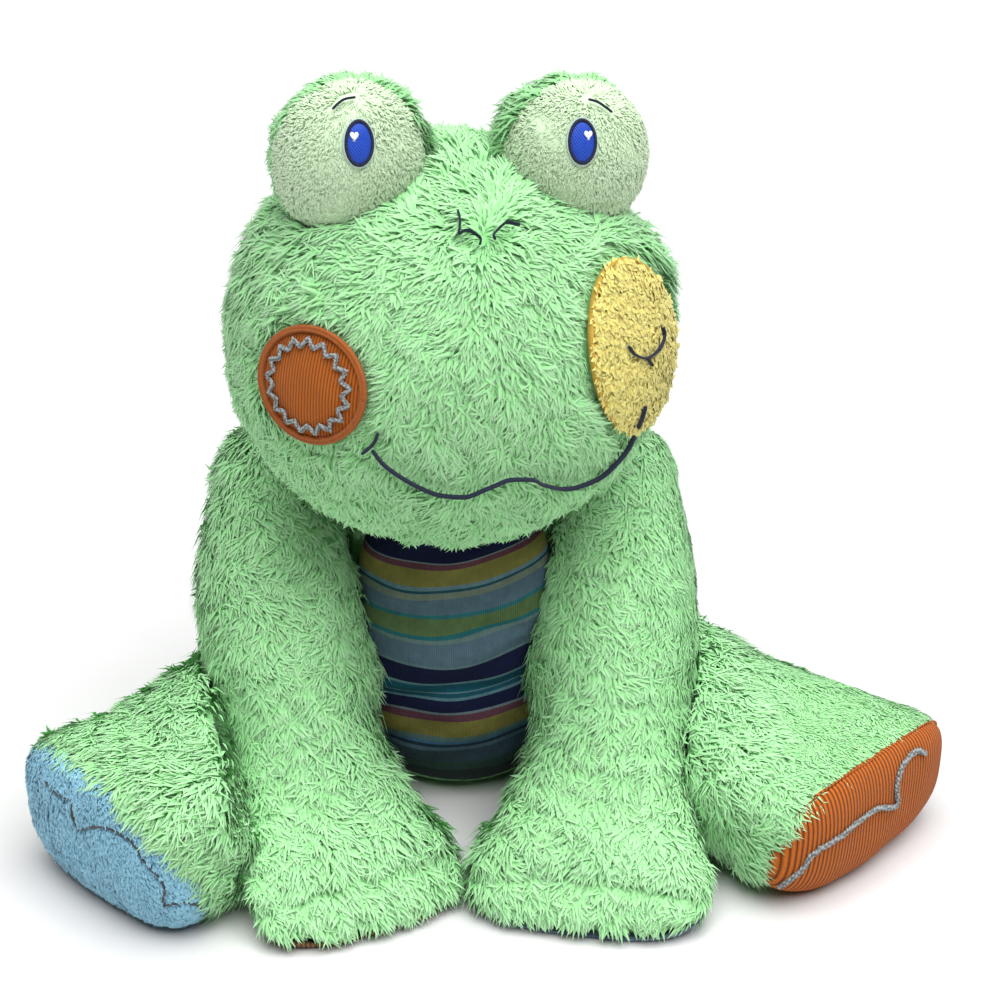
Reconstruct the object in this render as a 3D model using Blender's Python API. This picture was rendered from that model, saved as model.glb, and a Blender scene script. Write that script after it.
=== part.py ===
"""A sitting plush frog: fur shells, fabric panels, embroidery and stuffing, each as its own closed piece.

Metres, +Z up. The frog faces -Y and its own left side is at +X. The origin is the centre of its flat seat.
Every stuffed part starts as one smooth form, whose surface is the middle of the pile. Its fur, its panel, its
stuffing and its embroidery are cut from that form at different depths, so they fit inside and on each other.
"""

import math

import bmesh
import bpy
import numpy as np
from mathutils import Matrix, Vector

# Fabrics, as depths below the middle of the pile, and clearances
GAP = 0.0003
FUR_THICKNESS = 0.0040
PANEL_RECESS = 0.0018
PATCH_THICKNESS = 0.0016
BORDER_HEIGHT = 0.0024
THREAD_HEIGHT = 0.0012
THREAD_WIDTH = 0.0018
PRESSED_FLAT = 0.0005
SWING_CLEARANCE = 0.0009

# Body
BODY_WIDTH = 0.102
BODY_DEPTH = 0.098
BODY_HEIGHT = 0.144
BODY_LEAN = 0.012
BODY_FULLNESS_SHARE = 0.85
PEAR_SHARE = 0.20
SEAT_TILT = math.radians(-62)
BELLY_WIDTH = 0.078
BELLY_TOP = 0.122
BELLY_BOTTOM = 0.010
BEAN_BAG_WIDTH = 0.052
BEAN_BAG_HEIGHT = 0.022
BEAN_BAG_LIFT = 0.022

# Neck and head. The head's places are measured from its centre, in its own directions.
NECK_RADIUS = 0.020
NECK_FORWARD = 0.018
NECK_HEIGHT = 0.117
NECK_SIDE = -0.0057
HEAD_WIDTH = 0.151
HEAD_DEPTH = 0.127
HEAD_HEIGHT = 0.137
NECK_SINK = 0.0045
HEAD_RISE = HEAD_HEIGHT / 2 - NECK_SINK
HEAD_SIDE = -0.004
HEAD_FORWARD = 0.022
HEAD_CLEARANCE = 0.0065
HEAD_TILT = math.radians(25)
HEAD_TURN_AT_REST = math.radians(13)
HEAD_ROLL_AT_REST = math.radians(3.5)

# Eyes
EYE_SPACING = 0.074
EYE_SIDE = -0.0016
EYE_SINK = 0.003
EYE_RISE = HEAD_HEIGHT / 2 - EYE_SINK
EYE_FORWARD = 0.0075
EYE_WIDTH = 0.050
EYE_DEPTH = 0.039
EYE_HEIGHT = 0.053
PATCH_PLANE = 0.004
PUPIL_WIDTH = 0.0105
PUPIL_HEIGHT = 0.0165
PUPIL_RISE = 0.0098
HIGHLIGHT_SIZE = 0.0036
HIGHLIGHT_OFFSET = 0.0018
BROW_LENGTH = 0.010
BROW_RISE = 0.0195

# Face embroidery and cheeks
NOSTRIL_WIDTH = 0.0085
NOSTRIL_HEIGHT = 0.0070
NOSTRIL_SPACING = 0.0140
NOSTRIL_SIDE = 0.0040
NOSTRIL_RISE = 0.0008
NOSTRIL_TILT = math.radians(50)
MOUTH_WIDTH = 0.091
MOUTH_SIDE = 0.0080
MOUTH_RISE = -0.013
MOUTH_DROP = 0.022
MOUTH_TICK = 0.011
TICK_LEAN = math.radians(65)
CHEEK_TURN = math.radians(52)
RIGHT_CHEEK_WIDTH = 0.0405
RIGHT_CHEEK_HEIGHT = 0.0390
RIGHT_CHEEK_RISE = 0.002
LEFT_CHEEK_WIDTH = 0.050
LEFT_CHEEK_HEIGHT = 0.057
LEFT_CHEEK_RISE = 0.0113
CHEEK_BORDER = 0.0030
ZIGZAG_INSET = 0.0034
ZIGZAG_SWING = 0.0014
ZIGZAG_TEETH = 17
DIMPLE_WIDTH = 0.014
DIMPLE_DROP = 0.0045

# Arms: the shoulder ball, then the width and the thickness along the arm out to the toes
SHOULDER_SPREAD = 0.0600
SHOULDER_SIDE = -0.0025
SHOULDER_BACK = 0.000
SHOULDER_HEIGHT = 0.110
SHOULDER_RADIUS = 0.0245
ARM_RAISE = math.radians(24)
ARM_WIDTH = 0.061
WRIST_WIDTH = 0.052
RIGHT_FLIPPER_WIDTH = 0.074
LEFT_FLIPPER_WIDTH = 0.082
FLIPPER_THICKNESS = 0.030
TOE_THICKNESS = 0.017
TOE_ROUNDING = 0.016
TOE_BLUNTNESS_SHARE = 0.62
ARM_REACH = 0.111
RIGHT_FLIPPER_SIDE = 0.033
LEFT_FLIPPER_SIDE = 0.0495
PALM_HEIGHT = 0.0058

# Legs: the hip ball, then the width and the thickness along the leg out to the sole
HIP_SPREAD = 0.062
HIP_BACK = 0.006
HIP_RADIUS = 0.0310
LEG_SPLAY = math.radians(24)
RIGHT_LEG_TURN = math.radians(26)
LEFT_LEG_TURN = math.radians(43)
RIGHT_LEG_BOW = 0.012
LEFT_LEG_BOW = 0.002
RIGHT_LEG_REACH = 0.115
LEFT_LEG_REACH = 0.109
LEG_WIDTH = 0.061
RIGHT_LEG_HEIGHT = 0.066
LEFT_LEG_HEIGHT = 0.059
RIGHT_FOOT_WIDTH = 0.087
LEFT_FOOT_WIDTH = 0.096
RIGHT_FOOT_HEIGHT = 0.058
LEFT_FOOT_HEIGHT = 0.052
FOOT_LEAN = math.radians(4)
SOLE_BULGE = 0.017
SOLE_BLUNTNESS_SHARE = 0.55
SOLE_LEAN = math.radians(27)
RIGHT_SOLE_SEAM = 0.0130
LEFT_SOLE_SEAM = 0.0135
TOE_LINE_DROP = 0.014
TOE_LINE_SWING = 0.0035
TOE_COUNT = 3

# Reaches of cutters, the least edge kept, and facets round each form and along it
OVERRUN = 0.060
SLIVER = 0.000002
HEAD_SEGMENTS = 22
HEAD_RINGS = 11
BODY_SEGMENTS = 20
BODY_RINGS = 9
LIMB_SEGMENTS = 12
LIMB_RINGS = 8
CAP_RINGS = 3
BALL_SEGMENTS = 16
SWEEP_STEPS = 4
EYE_SEGMENTS = 14
EYE_RINGS = 8
OUTLINE_STEPS = 20

FUR_GREEN = (0.262, 0.584, 0.238)
PALE_FLEECE = (0.56, 0.79, 0.51)
FILL_WHITE = (0.86, 0.86, 0.84)
NAVY = (0.008, 0.018, 0.085)
BLUE = (0.012, 0.045, 0.40)
GREY_THREAD = (0.22, 0.25, 0.27)
ORANGE = (0.40, 0.130, 0.030)
YELLOW = (0.66, 0.55, 0.18)
GOLD = (0.60, 0.36, 0.05)
TERRY_BLUE = (0.20, 0.44, 0.66)
SLATE = (0.16, 0.22, 0.30)
STRIPE_TEAL = (0.05, 0.20, 0.30)
STITCH_WHITE = (0.80, 0.86, 0.92)
LINEN = (0.62, 0.58, 0.50)

RIGHT, LEFT = -1, 1
HEAD_CENTRE = Vector((HEAD_SIDE, -HEAD_FORWARD, HEAD_RISE))


def clear_scene():
    for thing in list(bpy.data.objects):
        bpy.data.objects.remove(thing)


def fabric(name, colour, roughness=0.95):
    """A cloth or thread in its photographed colour, never metallic."""
    made = bpy.data.materials.new(name)
    made.use_nodes = True
    shader = made.node_tree.nodes["Principled BSDF"]
    shader.inputs["Base Color"].default_value = (*colour, 1)
    shader.inputs["Roughness"].default_value = roughness
    shader.inputs["Metallic"].default_value = 0
    return made


def wrapped(first_pole, rings, last_pole):
    """A closed form of triangles: rings of equally many points between two poles."""
    count = len(rings[0])
    points = [first_pole, *(point for ring in rings for point in ring), last_pole]
    faces = []
    for index in range(count):
        after = (index + 1) % count
        faces.append((0, 1 + after, 1 + index))
        for ring in range(len(rings) - 1):
            here, there = 1 + ring * count, 1 + (ring + 1) * count
            faces.append((here + index, here + after, there + after))
            faces.append((here + index, there + after, there + index))
        last = 1 + (len(rings) - 1) * count
        faces.append((last + index, last + after, len(points) - 1))
    points = np.array(points, dtype=float)
    faces = np.array(faces)
    corners = points[faces]
    volume = np.einsum("ij,ij->i", corners[:, 0], np.cross(corners[:, 1], corners[:, 2])).sum()
    return points, faces if volume > 0 else faces[:, ::-1]


def grown(form, distance):
    """The form with its faces moved outwards by the distance, or inwards where it is negative."""
    points, faces = form
    corners = points[faces]
    crossed = np.cross(corners[:, 1] - corners[:, 0], corners[:, 2] - corners[:, 0])
    outward = crossed / np.linalg.norm(crossed, axis=1)[:, None]
    normals = np.zeros_like(points)
    for corner in range(3):
        np.add.at(normals, faces[:, corner], crossed)
    normals /= np.linalg.norm(normals, axis=1)[:, None]
    leaning = np.zeros(len(points))
    shared = np.zeros(len(points))
    for corner in range(3):
        np.add.at(leaning, faces[:, corner], np.einsum("ij,ij->i", outward, normals[faces[:, corner]]))
        np.add.at(shared, faces[:, corner], 1)
    return points + normals * (distance * shared / leaning)[:, None], faces


def mesh_of(form, name="form"):
    points, faces = form
    mesh = bpy.data.meshes.new(name)
    mesh.from_pydata(points.tolist(), [], faces.tolist())
    return mesh


def combined(mesh, tool, operation):
    """The mesh after an exact Boolean with the tool. Both helpers are removed again."""
    base = bpy.data.objects.new("base", mesh)
    cutter = bpy.data.objects.new("cutter", tool)
    cutter.hide_render = True
    cutter.display_type = "WIRE"
    for helper in (base, cutter):
        bpy.context.scene.collection.objects.link(helper)
    modifier = base.modifiers.new("cut", "BOOLEAN")
    modifier.object = cutter
    modifier.operation = operation
    modifier.solver = "EXACT"
    graph = bpy.context.evaluated_depsgraph_get()
    made = bpy.data.meshes.new_from_object(base.evaluated_get(graph))
    for helper in (base, cutter):
        bpy.data.objects.remove(helper)
    return cleaned(made)


def cleaned(mesh):
    """The mesh without the slivers that a Boolean leaves, as triangles."""
    work = bmesh.new()
    work.from_mesh(mesh)
    bmesh.ops.remove_doubles(work, verts=work.verts, dist=SLIVER)
    bmesh.ops.dissolve_degenerate(work, dist=SLIVER, edges=work.edges)
    bmesh.ops.triangulate(work, faces=work.faces)
    work.to_mesh(mesh)
    work.free()
    return mesh


def less(mesh, *tools):
    for tool in tools:
        mesh = combined(mesh, tool, "DIFFERENCE")
    return mesh


def common(mesh, tool):
    return combined(mesh, tool, "INTERSECT")


def moved(mesh, matrix):
    made = mesh.copy()
    made.transform(matrix)
    return made


def ball(centre, radius, axis, segments=BALL_SEGMENTS):
    """A faceted ball with its corners on the radius, turned about the axis."""
    turned = Vector((0, 0, 1)).rotation_difference(Vector(axis)).to_matrix()
    rings = []
    for ring in range(1, segments // 2):
        tilt = math.pi * ring / (segments // 2)
        circle = [(math.sin(tilt) * math.cos(turn), math.sin(tilt) * math.sin(turn), math.cos(tilt))
                  for turn in np.linspace(0, 2 * math.pi, segments, endpoint=False)]
        rings.append([turned @ Vector(point) * radius + Vector(centre) for point in circle])
    end = turned @ Vector((0, 0, radius))
    return wrapped(Vector(centre) + end, rings, Vector(centre) - end)


def socket(centre, radius, axis):
    """A ball cutter whose flats clear a ball of the radius by the gap."""
    clear = (radius + GAP) / math.cos(math.pi / BALL_SEGMENTS) ** 2
    return mesh_of(ball(centre, clear, axis))


def slab(point, outward, reach=2 * OVERRUN):
    """A box that lies beyond the plane through the point, on its outward side."""
    made = bmesh.new()
    bmesh.ops.create_cube(made, size=2 * reach)
    turned = Vector((0, 0, 1)).rotation_difference(Vector(outward)).to_matrix().to_4x4()
    centre = Vector(point) + Vector(outward).normalized() * reach
    bmesh.ops.transform(made, matrix=Matrix.Translation(centre) @ turned, verts=made.verts)
    mesh = bpy.data.meshes.new("slab")
    made.to_mesh(mesh)
    made.free()
    return mesh


def prism(outline, place, near, far):
    """The flat outline carried from near to far along the place's own Z."""
    flat = [(across, up) for across, up in outline]
    area = sum(a[0] * b[1] - b[0] * a[1] for a, b in zip(flat, flat[1:] + flat[:1]))
    if area < 0:
        flat.reverse()
    count = len(flat)
    points = [(across, up, near) for across, up in flat] + [(across, up, far) for across, up in flat]
    faces = [tuple(reversed(range(count))), tuple(range(count, 2 * count))]
    faces += [(index, (index + 1) % count, count + (index + 1) % count, count + index) for index in range(count)]
    mesh = bpy.data.meshes.new("prism")
    mesh.from_pydata(points, [], faces)
    mesh.transform(place)
    return mesh


def facing(point, outward, upward=(0, 0, 1)):
    """A frame at the point: its Z looks outward, its Y goes upward as far as it can."""
    out = Vector(outward).normalized()
    across = Vector(upward).cross(out).normalized()
    up = out.cross(across)
    frame = Matrix((across, up, out)).transposed().to_4x4()
    return Matrix.Translation(Vector(point)) @ frame


def oval(width, height, steps=OUTLINE_STEPS, side=0, rise=0):
    return [(side + width / 2 * math.cos(turn), rise + height / 2 * math.sin(turn))
            for turn in np.linspace(0, 2 * math.pi, steps, endpoint=False)]


def stroke(points, width):
    """The outline of a stitched line: its points moved half the width to either side."""
    line = np.array(points, dtype=float)
    along = np.gradient(line, axis=0)
    along /= np.linalg.norm(along, axis=1)[:, None]
    aside = np.column_stack((-along[:, 1], along[:, 0])) * width / 2
    return [*map(tuple, line + aside), *map(tuple, (line - aside)[::-1])]


def layer(form, high, low):
    """The skin of a form between two heights above its surface, closed by its inner wall."""
    return less(mesh_of(grown(form, high)), mesh_of(grown(form, low)))


def placed(name, mesh, made_of, pivot):
    """A finished piece: cleaned, smooth, with its material, its origin on its pivot."""
    final = cleaned(mesh)
    final.name = name
    final.materials.clear()
    final.materials.append(made_of)
    final.shade_smooth()
    final.set_sharp_from_angle(angle=math.radians(40))
    piece = bpy.data.objects.new(name, final)
    bpy.context.scene.collection.objects.link(piece)
    piece.parent = pivot
    return piece


def pivot_at(name, location, parent=None, turn=0, roll=0):
    made = bpy.data.objects.new(name, None)
    bpy.context.scene.collection.objects.link(made)
    made.location = location
    made.rotation_euler = (0, roll, turn)
    made.parent = parent
    return made


def from_pivot(mesh, location):
    """A mesh in the frog's frame, measured from its pivot instead."""
    return moved(mesh, Matrix.Translation(-Vector(location)))


def body_form():
    """The body: a pear, widest near its flat seat, that leans forward under the head."""
    rings = []
    for tilt in np.linspace(SEAT_TILT, math.pi / 2, BODY_RINGS + 1)[:-1]:
        share = math.cos(tilt) ** BODY_FULLNESS_SHARE * (1 - PEAR_SHARE * math.sin(tilt)) / (1 + PEAR_SHARE / 4)
        rise = (math.sin(tilt) - math.sin(SEAT_TILT)) / (1 - math.sin(SEAT_TILT))
        height = BODY_HEIGHT * rise - PRESSED_FLAT
        forward = -BODY_LEAN * rise
        rings.append([(share * BODY_WIDTH / 2 * math.cos(turn), forward + share * BODY_DEPTH / 2 * math.sin(turn), height)
                      for turn in np.linspace(0, 2 * math.pi, BODY_SEGMENTS, endpoint=False)])
    return wrapped((0, 0, -PRESSED_FLAT), rings, (0, -BODY_LEAN, BODY_HEIGHT - PRESSED_FLAT))


def head_form():
    """The head about its own centre: an egg whose upright axis leans back."""
    tilted = np.array(Matrix.Rotation(-HEAD_TILT, 3, "X"))
    rings = []
    for tilt in np.linspace(-math.pi / 2, math.pi / 2, HEAD_RINGS + 2)[1:-1]:
        circle = np.array([(HEAD_WIDTH / 2 * math.cos(tilt) * math.cos(turn),
                            HEAD_DEPTH / 2 * math.cos(tilt) * math.sin(turn),
                            HEAD_HEIGHT / 2 * math.sin(tilt))
                           for turn in np.linspace(0, 2 * math.pi, HEAD_SEGMENTS, endpoint=False)])
        rings.append(circle @ tilted.T)
    end = tilted @ np.array((0, 0, HEAD_HEIGHT / 2))
    return wrapped(-end, rings, end)


def eye_form(side):
    """An eye: an upright egg on top of the head, in the head's own directions."""
    centre = np.array((EYE_SIDE + side * EYE_SPACING / 2, -EYE_FORWARD, EYE_RISE))
    rings = []
    for tilt in np.linspace(-math.pi / 2, math.pi / 2, EYE_RINGS + 2)[1:-1]:
        rings.append([centre + (EYE_WIDTH / 2 * math.cos(tilt) * math.cos(turn),
                                EYE_DEPTH / 2 * math.cos(tilt) * math.sin(turn),
                                EYE_HEIGHT / 2 * math.sin(tilt))
                      for turn in np.linspace(0, 2 * math.pi, EYE_SEGMENTS, endpoint=False)])
    end = np.array((0, 0, EYE_HEIGHT / 2))
    return wrapped(centre - end, rings, centre + end)


def smooth_line(stations, at):
    """A curve through the stations, each a row of values, by cubic pieces with matching slopes."""
    rows = np.array(stations, dtype=float)
    slopes = np.gradient(rows, axis=0)
    first = np.minimum(at.astype(int), len(rows) - 2)
    share = (at - first)[:, None]
    start, end = rows[first], rows[first + 1]
    leave, arrive = slopes[first], slopes[first + 1]
    return ((2 * share ** 3 - 3 * share ** 2 + 1) * start + (share ** 3 - 2 * share ** 2 + share) * leave
            + (3 * share ** 2 - 2 * share ** 3) * end + (share ** 3 - share ** 2) * arrive)


def limb_form(stations, cap_length, bluntness_share, end_lean=0):
    """A limb: a ball round its first station, a tube through the others and a blunt end cap.

    A station holds a centre, a width, a height and a fullness: 1 is an oval and less is squarer.
    The sections lean outward at their tops towards the end, up to the end lean.
    """
    fine = smooth_line(stations, np.linspace(0, len(stations) - 1, LIMB_RINGS))
    centres, widths, heights, fullness = fine[:, :3], fine[:, 3] / 2, fine[:, 4] / 2, fine[:, 5]
    along = np.gradient(centres, axis=0)
    along /= np.linalg.norm(along, axis=1)[:, None]
    turns = (np.arange(LIMB_SEGMENTS) + 1 / 2) * 2 * math.pi / LIMB_SEGMENTS
    leans = math.tan(end_lean) * np.linspace(0, 1, LIMB_RINGS) ** 2

    def ring(centre, direction, width, height, full, lean=0):
        aside = np.cross(direction, (0, 0, 1))
        aside /= np.linalg.norm(aside)
        above = np.cross(aside, direction) + lean * direction
        across = np.sign(np.cos(turns)) * np.abs(np.cos(turns)) ** full
        up = np.sign(np.sin(turns)) * np.abs(np.sin(turns)) ** full
        return centre + width * np.outer(across, aside) + height * np.outer(up, above)

    rings = []
    for tilt in np.linspace(math.pi / 2, 0, CAP_RINGS + 1)[1:-1]:
        back = centres[0] - along[0] * widths[0] * math.sin(tilt)
        rings.append(ring(back, along[0], widths[0] * math.cos(tilt), heights[0] * math.cos(tilt), fullness[0]))
    for centre, direction, width, height, full, lean in zip(centres, along, widths, heights, fullness, leans):
        rings.append(ring(centre, direction, width, height, full, lean))
    for tilt in np.linspace(0, math.pi / 2, CAP_RINGS + 2)[1:-1]:
        tip = centres[-1] + along[-1] * cap_length * math.sin(tilt)
        narrow = math.cos(tilt) ** bluntness_share
        rings.append(ring(tip, along[-1], widths[-1] * narrow, heights[-1] * narrow, fullness[-1], leans[-1]))
    return wrapped(centres[0] - along[0] * widths[0], rings, centres[-1] + along[-1] * cap_length)


def resting_height(height, full=1):
    """How high the middle of a limb's section lies when its lowest facet is pressed flat on the floor."""
    return height / 2 * math.cos(math.pi / LIMB_SEGMENTS) ** full - PRESSED_FLAT


def shoulder_at(side):
    return Vector((SHOULDER_SIDE + side * SHOULDER_SPREAD, SHOULDER_BACK, SHOULDER_HEIGHT))


def hip_at(side):
    return Vector((side * HIP_SPREAD, HIP_BACK, resting_height(2 * HIP_RADIUS)))


def arm_form(side):
    """An arm: down and forward from the shoulder ball, then flat on the floor as a broad flipper."""
    flipper_side = RIGHT_FLIPPER_SIDE if side == RIGHT else LEFT_FLIPPER_SIDE
    flipper_width = RIGHT_FLIPPER_WIDTH if side == RIGHT else LEFT_FLIPPER_WIDTH
    drift = flipper_side - SHOULDER_SPREAD
    drop = SHOULDER_HEIGHT - FLIPPER_THICKNESS / 2
    ball_width = 2 * SHOULDER_RADIUS
    palm_width = (flipper_width + WRIST_WIDTH) / 2
    palm_thickness = (2 * FLIPPER_THICKNESS + WRIST_WIDTH) / 3
    tip_thickness = (2 * TOE_THICKNESS + FLIPPER_THICKNESS) / 3
    drift_shares = (0.00, 0.04, 0.14, 0.30, 0.66, 1.00, 1.12)
    reach_shares = (0.00, 0.17, 0.37, 0.56, 0.76, 0.94, 1.00)
    drop_shares = (1.00, 0.74, 0.49, 0.26, 0.085, 0.00, 0.00)
    fullness_shares = (1.00, 1.00, 1.00, 1.00, 0.92, 0.85, 0.85)
    widths = (ball_width, ARM_WIDTH, ARM_WIDTH, WRIST_WIDTH, palm_width, flipper_width, flipper_width)
    thicknesses = (ball_width, ARM_WIDTH, ARM_WIDTH, WRIST_WIDTH, palm_thickness, FLIPPER_THICKNESS, tip_thickness)
    stations = []
    for index, width in enumerate(widths):
        thickness, full = thicknesses[index], fullness_shares[index]
        across = SHOULDER_SIDE + side * (SHOULDER_SPREAD + drift * drift_shares[index])
        forward = SHOULDER_BACK - ARM_REACH * reach_shares[index]
        lowest = resting_height(thickness, full)
        hanging = FLIPPER_THICKNESS / 2 + drop * drop_shares[index]
        height = max(hanging, lowest) if thickness > FLIPPER_THICKNESS else lowest
        stations.append((across, forward, height, width, thickness, full))
    return limb_form(stations, TOE_ROUNDING, TOE_BLUNTNESS_SHARE)


def leg_directions(side):
    """The leg's way out at its full reach, the way that its sole faces and its way to the outside, all level."""
    turn = RIGHT_LEG_TURN if side == RIGHT else LEFT_LEG_TURN
    bow = RIGHT_LEG_BOW if side == RIGHT else LEFT_LEG_BOW
    reach = RIGHT_LEG_REACH if side == RIGHT else LEFT_LEG_REACH
    facing_turn = turn + math.atan(4 * bow / reach)
    out = Vector((side * math.sin(turn), -math.cos(turn), 0)) * reach
    sole_out = Vector((side * math.sin(facing_turn), -math.cos(facing_turn), 0))
    return out, sole_out, Vector((side * math.cos(turn), math.sin(turn), 0))


def leg_form(side):
    """A leg: the haunch ball, then outward along the floor, wider and lower towards the foot."""
    hip = hip_at(side)
    out, sole_out, aside = leg_directions(side)
    bow = RIGHT_LEG_BOW if side == RIGHT else LEFT_LEG_BOW
    foot_width = RIGHT_FOOT_WIDTH if side == RIGHT else LEFT_FOOT_WIDTH
    leg_height = RIGHT_LEG_HEIGHT if side == RIGHT else LEFT_LEG_HEIGHT
    foot_height = RIGHT_FOOT_HEIGHT if side == RIGHT else LEFT_FOOT_HEIGHT
    ball_width = 2 * HIP_RADIUS
    ankle_width = (LEG_WIDTH + 2 * foot_width) / 3
    reach_shares = (0.00, 0.28, 0.55, 0.82, 1.00)
    fullness_shares = (1.00, 0.95, 0.85, 0.72, 0.65)
    widths = (ball_width, LEG_WIDTH, ankle_width, foot_width, foot_width)
    heights = (ball_width, leg_height, (leg_height + foot_height) / 2, foot_height, foot_height)
    stations = []
    for reach_share, width, height, full in zip(reach_shares, widths, heights, fullness_shares):
        inward = 4 * bow * reach_share * (1 - reach_share)
        centre = hip + out * reach_share - aside * inward
        stations.append((centre.x, centre.y, resting_height(height, full), width, height, full))
    return limb_form(stations, SOLE_BULGE, SOLE_BLUNTNESS_SHARE, FOOT_LEAN)


def head_to_body():
    """The head's own frame in the frog's frame, at rest."""
    neck = Vector((NECK_SIDE, -NECK_FORWARD, NECK_HEIGHT))
    turned = Matrix.Rotation(HEAD_TURN_AT_REST, 4, "Z") @ Matrix.Rotation(HEAD_ROLL_AT_REST, 4, "Y")
    return Matrix.Translation(neck) @ turned @ Matrix.Translation(HEAD_CENTRE)


def floor_cut():
    """Everything below the floor."""
    return slab((0, 0, 0), (0, 0, -1), 4 * OVERRUN)


def joint_sockets():
    """The seats that the shoulder, hip and neck balls need in the body."""
    neck = (NECK_SIDE, -NECK_FORWARD, NECK_HEIGHT)
    made = [socket(neck, NECK_RADIUS, (0, 0, 1))]
    for side in (RIGHT, LEFT):
        made.append(socket(shoulder_at(side), SHOULDER_RADIUS, (1, 0, 0)))
        made.append(socket(hip_at(side), HIP_RADIUS, (0, 0, 1)))
    return made


def body_solid(depth):
    """The body at a depth, with a bowl in its top that clears the head."""
    bowl = moved(mesh_of(grown(head_form(), HEAD_CLEARANCE + depth)), head_to_body())
    return less(mesh_of(grown(body_form(), -depth)), bowl)


def belly_outline(clearance):
    """The belly panel: an egg, narrower towards the chin, smaller all round by the clearance."""
    middle = (BELLY_TOP + BELLY_BOTTOM) / 2
    tall = (BELLY_TOP - BELLY_BOTTOM) / 2 - clearance
    wide = BELLY_WIDTH / 2 - clearance
    return [(wide * math.cos(turn) * (1 - PEAR_SHARE * math.sin(turn)), middle + tall * math.sin(turn))
            for turn in np.linspace(0, 2 * math.pi, OUTLINE_STEPS, endpoint=False)]


def build_body(root, fabrics):
    place = facing((0, 0, 0), (0, -1, 0))
    window = prism(belly_outline(0), place, 0, OVERRUN)
    panel_window = prism(belly_outline(GAP), place, 0, OVERRUN)
    inside = body_solid(FUR_THICKNESS)
    shell = less(body_solid(0), inside, window, floor_cut(), *joint_sockets())
    placed("body_shell", shell, fabrics["fur"], root)
    panel = common(less(body_solid(PANEL_RECESS), inside), panel_window)
    placed("belly_panel", less(panel, *joint_sockets()), fabrics["stripes"], root)
    bag_centre = (0, 0, BEAN_BAG_LIFT)
    bag = bean_bag_form(bag_centre, 0)
    stuffing = less(body_solid(FUR_THICKNESS + GAP), bean_bag_form(bag_centre, GAP), *joint_sockets())
    down = facing(bag_centre, (0, 0, -1), (0, 1, 0))
    vent = prism(oval(BEAN_BAG_HEIGHT / 2, BEAN_BAG_HEIGHT / 2, 8), down, 0, OVERRUN)
    placed("body_stuffing", less(stuffing, vent), fabrics["fill"], root)
    placed("seat_bean_bag", bag, fabrics["linen"], root)


def bean_bag_form(centre, clearance):
    """The flat round bag of pellets that weights the seat."""
    return mesh_of(grown(squashed_ball(centre, BEAN_BAG_WIDTH / 2, BEAN_BAG_HEIGHT / 2), clearance))


def squashed_ball(centre, radius, half_height):
    points, faces = ball((0, 0, 0), radius, (0, 0, 1))
    return points * (1, 1, half_height / radius) + np.array(centre), faces


def build_neck(neck_pivot, fabrics):
    placed("neck_stuffing", mesh_of(ball((0, 0, 0), NECK_RADIUS, (0, 0, 1))), fabrics["fill"], neck_pivot)


def in_head(mesh):
    """A mesh about the head's centre, measured from the neck pivot instead."""
    return moved(mesh, Matrix.Translation(HEAD_CENTRE))


def build_head(head_pivot, fabrics):
    form = head_form()
    neck = socket(-HEAD_CENTRE, NECK_RADIUS, (0, 0, 1))
    shell = less(mesh_of(form), mesh_of(grown(form, -FUR_THICKNESS)), neck)
    placed("head_shell", in_head(shell), fabrics["fur"], head_pivot)
    stuffing = less(mesh_of(grown(form, -FUR_THICKNESS - GAP)), neck)
    placed("head_stuffing", in_head(stuffing), fabrics["fill"], head_pivot)
    build_mouth(form, head_pivot, fabrics)
    build_right_cheek(form, head_pivot, fabrics)
    build_left_cheek(form, head_pivot, fabrics)
    for side, name in ((RIGHT, "right"), (LEFT, "left")):
        build_eye(side, name, form, head_pivot, fabrics)
        build_nostril(side, name, form, head_pivot, fabrics)


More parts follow.
